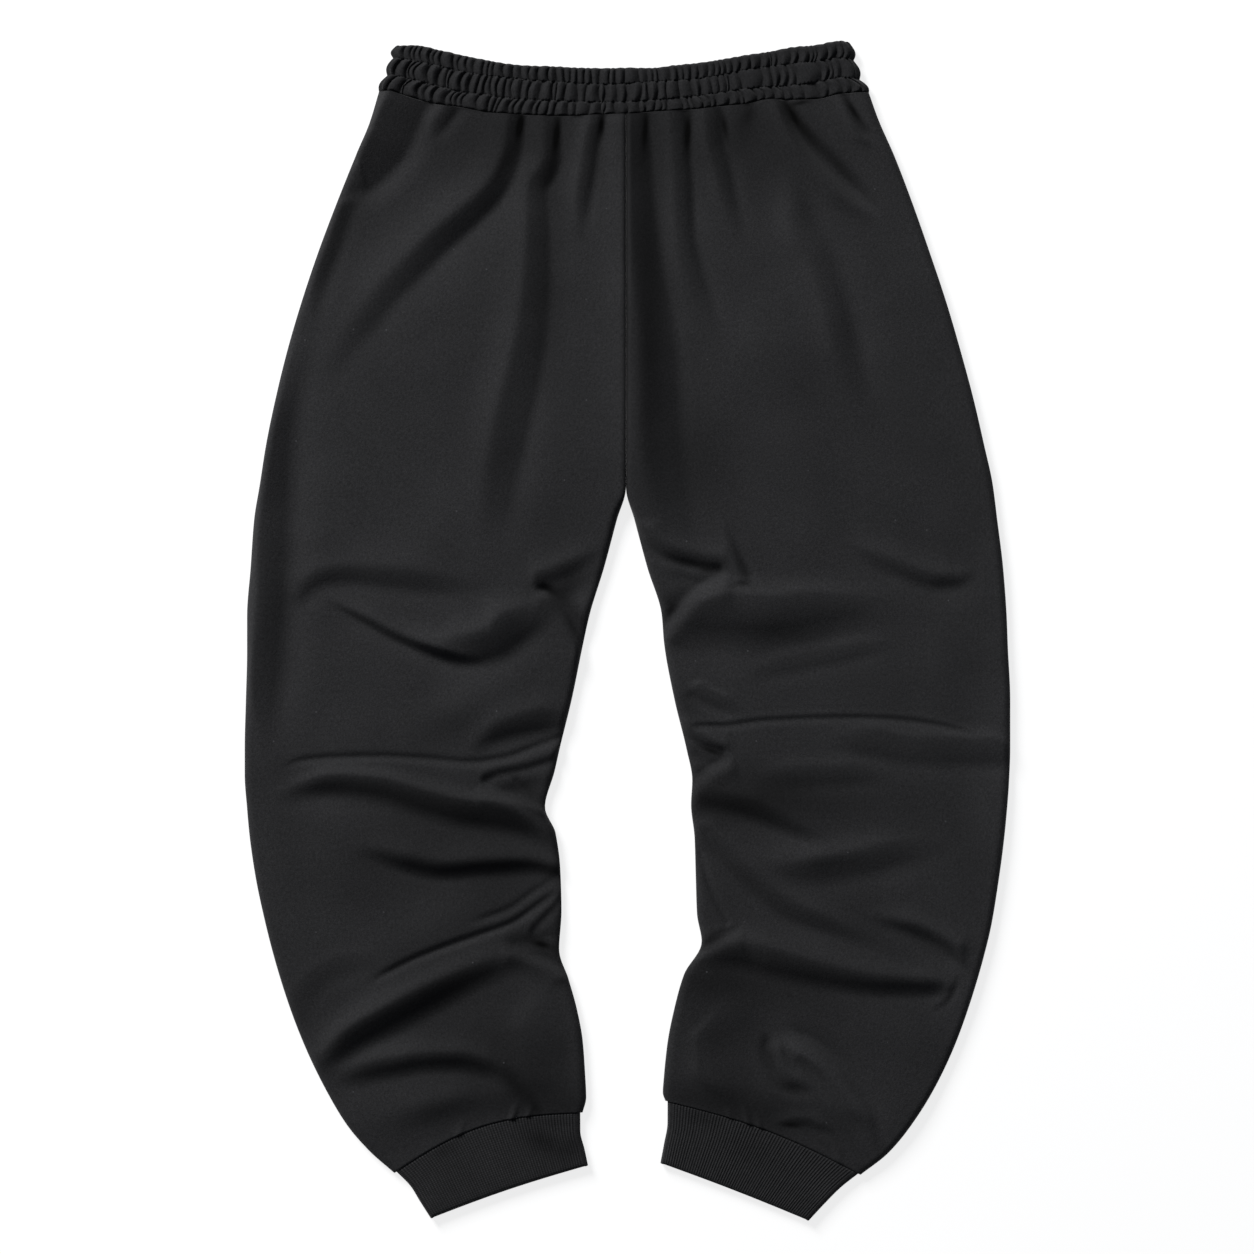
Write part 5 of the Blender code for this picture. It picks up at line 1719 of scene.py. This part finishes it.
@dataclass(frozen=True)
class BrushedFleece(Finish):
    """Cotton fleece, dyed in the piece and brushed: matt, with a soft broken grain and some lint.

    The yarns are a little lighter and darker than each other, which gives the heathered look, and
    the nap catches light at grazing angles as a faint sheen. The knit is drawn coarser than the
    real one, which is too fine to show.
    """

    yarn: str = "272728"
    lint: str = "3f3f41"
    fuzz_size: float = 1.6
    fuzz_swing: float = 0.22
    fine_size: float = 0.8
    fine_swing: float = 0.16
    tone_size: float = 62.0
    tone_swing: float = 0.10
    wale: float = 2.1
    course: float = 3.4
    knit_swing: float = 0.13
    plain_detail: float = 1.0
    broken_detail: float = 2.0
    cloud_range: Pair = (0.25, 0.75)
    lint_spacing: float = 8.5
    lint_share: float = 0.86
    lint_radius: float = 0.055
    nap: float = 0.07
    nap_roughness: float = 0.45
    roughness: float = 0.95
    specular: float = 0.08
    grain_depth: float = 0.26
    grain_strength: float = 0.5

    def make(self) -> bpy.types.Material:
        """Builds the nodes: grain, knit, tone and lint over the yarn's colour, and a fine bump."""
        material = new_tree(self.name)
        tree = material.node_tree
        place = on_piece(tree)
        fuzz = self.clouds(tree, place, self.fuzz_size, self.broken_detail)
        fine = self.clouds(tree, place, self.fine_size, self.plain_detail)
        tone = self.clouds(tree, place, self.tone_size, self.broken_detail)
        knit = self.clouds(tree, self.grain_place(tree), self.wale, self.plain_detail)
        swings = (
            (fuzz, self.fuzz_swing), (fine, self.fine_swing),
            (knit, self.knit_swing), (tone, self.tone_swing),
        )
        cloth = dyed(tree, self.yarn, self.brightness(tree, swings))
        mixed = {
            "Factor": self.lint_mask(tree, place),
            FIRST_COLOUR: cloth,
            SECOND_COLOUR: colour(self.lint),
        }
        shown = add_node(tree, "ShaderNodeMix", mixed, data_type="RGBA").outputs[MIXED_COLOUR]
        relief = maths(tree, "ADD", maths(tree, "ADD", fuzz, knit), fine)
        self.shade(tree, shown, relief)
        return material

    def clouds(self, tree: Tree, place: Socket, size: float, detail: float) -> Socket:
        """Cloudy values from 0 to 1 with cells of a size in millimetres."""
        inputs = {"Vector": place, "Scale": repeats_per_metre(size), "Detail": detail}
        return add_node(tree, "ShaderNodeTexNoise", inputs).outputs["Fac"]

    def grain_place(self, tree: Tree) -> Socket:
        """A place on the cloth itself, drawn out along the wales of the knit."""
        across = kept_on_cloth(tree, ACROSS)
        along = maths(tree, "MULTIPLY", kept_on_cloth(tree, ALONG), self.wale / self.course)
        return add_node(tree, "ShaderNodeCombineXYZ", {"X": across, "Y": along}).outputs[0]

    def brightness(self, tree: Tree, swings: tuple[tuple[Socket, float], ...]) -> Socket:
        """How bright the yarn looks, about 1.

        Args:
            tree: The material's node tree.
            swings: Cloudy sources, and how far the brightness swings with each of them.

        Returns:
            The product of the swings and of the painted shade and light at each place on the cloth.
        """
        # The painted shade and light kept on the mesh, about 1
        value = maths(tree, "ADD", kept_on_cloth(tree, PAINTED_SHADE), 1.0)
        for source, swing in swings:
            part = ranged(tree, source, self.cloud_range, (1.0 - swing, 1.0 + swing))
            value = maths(tree, "MULTIPLY", value, part)
        return value

    def lint_mask(self, tree: Tree, place: Socket) -> Socket:
        """1 on the few specks of lint that cling to the nap."""
        inputs = {"Vector": place, "Scale": repeats_per_metre(self.lint_spacing)}
        cells = add_node(tree, "ShaderNodeTexVoronoi", inputs)
        rim = (self.lint_radius, self.lint_radius * 2.0)
        speck = ranged(tree, cells.outputs["Distance"], rim, (1.0, 0.0))
        chosen = maths(tree, "GREATER_THAN", cells.outputs["Color"], self.lint_share)
        return maths(tree, "MULTIPLY", speck, chosen)

    def shade(self, tree: Tree, shown: Socket, relief: Socket) -> None:
        """Joins the colour and the relief to a matt shader with the nap's sheen."""
        depth = self.grain_depth * MM
        inputs = {"Strength": self.grain_strength, "Distance": depth, "Height": relief}
        bump = add_node(tree, "ShaderNodeBump", inputs)
        add_surface(
            tree,
            {
                "Base Color": shown, "Roughness": self.roughness, "Metallic": 0.0,
                "Specular IOR Level": self.specular, "Sheen Weight": self.nap,
                "Sheen Roughness": self.nap_roughness, "Normal": bump.outputs["Normal"],
            },
        )


@dataclass(frozen=True)
class RibKnit(BrushedFleece):
    """Cotton and elastane knitted in ribs: proud matt ribs, with painted light on them and painted shade
    between them.

    The rows of stitches are drawn coarser than the real ones, which are too fine to show.
    """

    yarn: str = "2a2a2b"
    nap: float = 0.05
    painted_rib_light: float = 1.08
    painted_gap_shade: float = 0.58
    rib_range: Pair = (-1.0, 0.4)
    stitch: float = 1.5
    stitch_depth: float = 0.35

    def make(self) -> bpy.types.Material:
        """Builds the nodes: the fleece's grain, with painted light on the ribs and painted shade between
        them, and rows of stitches.
        """
        material = new_tree(self.name)
        tree = material.node_tree
        place = on_piece(tree)
        fuzz = self.clouds(tree, place, self.fuzz_size, self.broken_detail)
        fine = self.clouds(tree, place, self.fine_size, self.plain_detail)
        value = self.brightness(tree, ((fuzz, self.fuzz_swing), (fine, self.fine_swing)))
        # Painted shade between the ribs and painted light on them
        gaps = self.wave(tree, kept_on_cloth(tree, ACROSS), RIB_PITCH)
        lit = ranged(tree, gaps, self.rib_range, (self.painted_rib_light, self.painted_gap_shade))
        cloth = dyed(tree, self.yarn, maths(tree, "MULTIPLY", value, lit))
        rows = self.wave(tree, kept_on_cloth(tree, ALONG), self.stitch)
        relief = maths(tree, "ADD", maths(tree, "MULTIPLY", rows, self.stitch_depth), fuzz)
        self.shade(tree, cloth, relief)
        return material

    def wave(self, tree: Tree, way: Socket, pitch: float) -> Socket:
        """A cosine along a way on the cloth, 1 at each whole number of pitches."""
        return maths(tree, "COSINE", maths(tree, "MULTIPLY", way, 2 * math.pi / (pitch * MM)))


@dataclass(frozen=True)
class SewingThread(Finish):
    """Spun polyester thread, dyed to the cloth: slightly smoother than it, with its twist as bump."""

    dye: str = "121213"
    twist: float = 0.5
    twist_depth: float = 0.1
    twist_stray: float = 2.0
    strands: float = 6.0
    shades: Pair = (0.75, 1.2)
    roughness: float = 0.7

    def make(self) -> bpy.types.Material:
        """Builds the nodes: an uneven dye and a twist."""
        material = new_tree(self.name)
        tree = material.node_tree
        scale = repeats_per_metre(self.twist) / self.strands
        inputs = {"Vector": on_piece(tree), "Scale": scale, "Distortion": self.twist_stray}
        bands = add_node(tree, "ShaderNodeTexWave", inputs, bands_direction="DIAGONAL")
        twist = bands.outputs["Fac"]
        dye = dyed(tree, self.dye, ranged(tree, twist, (0.0, 1.0), self.shades))
        inputs = {"Distance": self.twist_depth * MM, "Height": twist}
        bump = add_node(tree, "ShaderNodeBump", inputs).outputs["Normal"]
        add_surface(tree, {"Base Color": dye, "Roughness": self.roughness, "Normal": bump})
        return material


@dataclass(frozen=True)
class LightTable(Finish):
    """Opal acrylic lit faintly from below: a plain pale floor with little shadow."""

    face: str = "8c8c8c"
    light: str = "ffffff"
    glow: float = 0.8
    roughness: float = 0.9

    def make(self) -> bpy.types.Material:
        """Builds the nodes: a matt face with its own glow."""
        material = new_tree(self.name)
        add_surface(
            material.node_tree,
            {
                "Base Color": colour(self.face), "Roughness": self.roughness,
                "Specular IOR Level": 0.0, "Emission Color": colour(self.light),
                "Emission Strength": self.glow,
            },
        )
        return material


@dataclass
class ShirringStitches:
    """The stitches that hold the waistband to its elastic, in two lines on both its faces."""

    name: str
    finish: Finish
    band: Waistband
    pitch: float = 3.1
    length: float = 2.3
    radius: float = 0.36
    margin: float = 6.0
    heights: Pair = (8.5, 0.5)
    roundness: int = 2

    def build(self) -> bpy.types.Object:
        """Sets a small stretched ball for each stitch, and joins them in one mesh."""
        mesh = bmesh.new()
        for line in STITCH_LINES:
            left = self.band.left_x[line] + self.margin
            right = self.band.right_x[line] - self.margin
            count = round((right - left) / self.pitch)
            x = left + (np.arange(count) + 0.5) * (right - left) / count
            lines = BAND_LINES.at(x)
            slope = np.gradient(lines[:, line], x)
            for place_x, place_y, rise in zip(x, lines[:, line], slope):
                for height in self.heights:
                    self.stitch(mesh, place_x, place_y, height, math.atan(rise))
        piece = add_object(self.name, mesh, self.finish)
        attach(piece, "root")
        log.info("%s: %d triangles", self.name, len(piece.data.polygons))
        return piece

    def stitch(self, mesh: Mesh, x: float, y: float, height: float, heading: float) -> None:
        """Adds one stitch that lies along its line."""
        shape = Matrix.Diagonal((self.length / 2 * MM, self.radius * MM, self.radius * MM, 1.0))
        place = Matrix.Translation(Vector((x, y, height)) * MM) @ Matrix.Rotation(heading, 4, "Z")
        bmesh.ops.create_icosphere(
            mesh, subdivisions=self.roundness, radius=1.0, matrix=place @ shape
        )


@dataclass(frozen=True)
class Studio:
    """The light table, the lights and the camera above it."""

    floor_side: float = 8000.0
    floor_gap: float = 0.25
    camera_height: float = 3000.0
    camera_x: float = -0.4
    camera_y: float = 3.0
    lens: float = 101.3
    sensor: float = 36.0
    key_power: float = 600.0
    key_side: float = 2100.0
    key_distance: float = 6000.0
    key_azimuth: float = 127.0
    key_elevation: float = 28.5
    sky: str = "e9eefb"
    sky_strength: float = 0.15

    def build(self) -> None:
        """Sets up the whole studio."""
        self.lay_floor()
        self.hang_key()
        self.set_sky()
        self.set_camera()

    def lay_floor(self) -> None:
        """The table top, just under the cloth."""
        mesh = bmesh.new()
        place = Matrix.Translation((0.0, 0.0, -self.floor_gap * MM))
        bmesh.ops.create_grid(
            mesh, x_segments=1, y_segments=1, size=self.floor_side / 2 * MM, matrix=place
        )
        add_object("table_top", mesh, LightTable("opal_acrylic"))

    def hang_key(self) -> None:
        """One soft light from the upper left, low enough to show every crease."""
        azimuth, elevation = math.radians(self.key_azimuth), math.radians(self.key_elevation)
        flat = math.cos(elevation)
        way = Vector((flat * math.cos(azimuth), flat * math.sin(azimuth), math.sin(elevation)))
        data = bpy.data.lights.new("key", "AREA")
        data.energy = self.key_power
        data.size = self.key_side * MM
        light = bpy.data.objects.new("key", data)
        light.location = way * self.key_distance * MM
        light.rotation_euler = way.to_track_quat("Z", "Y").to_euler()
        bpy.context.scene.collection.objects.link(light)

    def set_sky(self) -> None:
        """Even light from all round."""
        world = bpy.data.worlds.new("studio")
        world.use_nodes = True
        background = world.node_tree.nodes["Background"]
        background.inputs["Color"].default_value = colour(self.sky)
        background.inputs["Strength"].default_value = self.sky_strength
        bpy.context.scene.world = world
        bpy.context.scene.view_settings.view_transform = "Standard"

    def set_camera(self) -> None:
        """The camera looks straight down, with the waist at the top of the picture."""
        data = bpy.data.cameras.new("camera")
        data.lens = self.lens
        data.sensor_width = self.sensor
        camera = bpy.data.objects.new("camera", data)
        camera.location = (self.camera_x * MM, self.camera_y * MM, self.camera_height * MM)
        bpy.context.scene.collection.objects.link(camera)
        bpy.context.scene.camera = camera


# Painted shade and light on the cuffs
LEFT_CUFF_PAINTED_SHADING = (
    PaintedShadingPatch(-72, -433, -0.48, 28, 14, -28),
    PaintedShadingPatch(-64, -417, -0.25, 22, 6, -2),
    PaintedShadingPatch(-46, -436, -0.30, 20, 12, 60),
    PaintedShadingPatch(-156, -441, -0.24, 18, 8, 28),
    PaintedShadingPatch(-172, -480, 0.18, 24, 14, 60),
    PaintedShadingPatch(-118, -452, 0.08, 20, 24, 20),
)
RIGHT_CUFF_PAINTED_SHADING = (
    PaintedShadingPatch(62, -413, -0.26, 26, 10, -14),
    PaintedShadingPatch(104, -440, -0.16, 36, 14, -24),
    PaintedShadingPatch(36, -442, 0.14, 10, 24, -12),
    PaintedShadingPatch(166, -476, 0.16, 30, 16, -30),
)

# The waistband's rows of puffs, from the open edge down
PUFF_ROWS = (
    PuffRow(11, 6.3, 0.5, 1.6, 0.1, 0.9, 2.4, ((-10.0, -2.0), (-2.0, 9.0))),
    PuffRow(
        23, 7.0, 0.55, 2.6, 0.3, 1.6, 2.7,
        ((-10.0, -2.0), (-2.0, 12.0), (92.0, 112.0), (137.0, 158.0)),
    ),
    PuffRow(37, 7.0, 0.6, 3.0, 0.3, 1.6, 2.5, ((-12.0, -2.0), (-2.0, 10.0))),
)

# Creases pressed into the panels that lie underneath
LEFT_FRONT_CREASES = (
    Fold(0.7, 0, 14, 16, 8, 40, 40, ((-290, 60), (-180, 40), (-60, 70))),
    Fold(0.8, 0, 16, 14, 8, 40, 40, ((-70, -140), (-180, -120), (-290, -150))),
    Fold(0.7, 0, 14, 18, 8, 40, 40, ((-90, -300), (-180, -340), (-240, -350))),
    Fold(0.6, 0, 12, 12, 8, 60, 40, ((-60, 180), (-90, 290), (-100, 400))),
)
RIGHT_FRONT_CREASES = (
    Fold(0.7, 0, 14, 16, 8, 40, 40, ((60, 90), (170, 60), (290, 80))),
    Fold(0.8, 0, 16, 14, 8, 40, 40, ((290, -110), (190, -90), (80, -130))),
    Fold(0.7, 0, 14, 18, 8, 40, 40, ((240, -330), (160, -300), (70, -330))),
    Fold(0.6, 0, 12, 12, 8, 60, 40, ((90, 400), (110, 290), (70, 190))),
)


def main() -> None:
    """Builds the trousers piece by piece, and the studio round them."""
    logging.basicConfig(level=logging.INFO, format="%(name)s: %(message)s")
    Studio().build()
    fleece = BrushedFleece("brushed_fleece")
    band_cloth = BrushedFleece("shirred_fleece", yarn="212122", tone_swing=0.06)
    rib = RibKnit("ribbed_cotton")
    left, right = left_leg(), right_leg()
    for leg, creases in ((left, LEFT_FRONT_CREASES), (right, RIGHT_FRONT_CREASES)):
        side = leg.side.name.lower()
        LegPanel(
            f"leg_back_{side}", f"back_{side}", Slot.FLEECE, fleece, LEG_CUT, BACK_LEG_AREA, leg=leg
        ).dress()
        FrontPanel(
            f"leg_front_{side}", f"front_{side}", Slot.FLEECE, fleece, LEG_CUT, FRONT_LEG_AREA,
            leg=leg, creases=creases,
        ).dress()
    band = Waistband(
        "waistband_shirred", "waistband", Slot.WAISTBAND, band_cloth, BAND_CUT, None,
        held="gathered", puff_rows=PUFF_ROWS,
    )
    band.dress()
    ShirringStitches("waistband_stitches", SewingThread("sewing_thread"), band).build()
    # Each cuff has its own patches of painted shade and light
    for leg, lines, nap in (
        (left, LEFT_CUFF_LINES, LEFT_CUFF_PAINTED_SHADING), (right, RIGHT_CUFF_LINES, RIGHT_CUFF_PAINTED_SHADING),
    ):
        side = leg.side.name.lower()
        Cuff(
            f"cuff_rib_{side}", f"cuff_{side}", Slot.RIB, rib, CUFF_CUT, None,
            leg=leg, lines=lines, seed=leg.side.value + CUFF_SEED, nap=nap,
        ).dress()


if __name__ == "__main__":
    main()
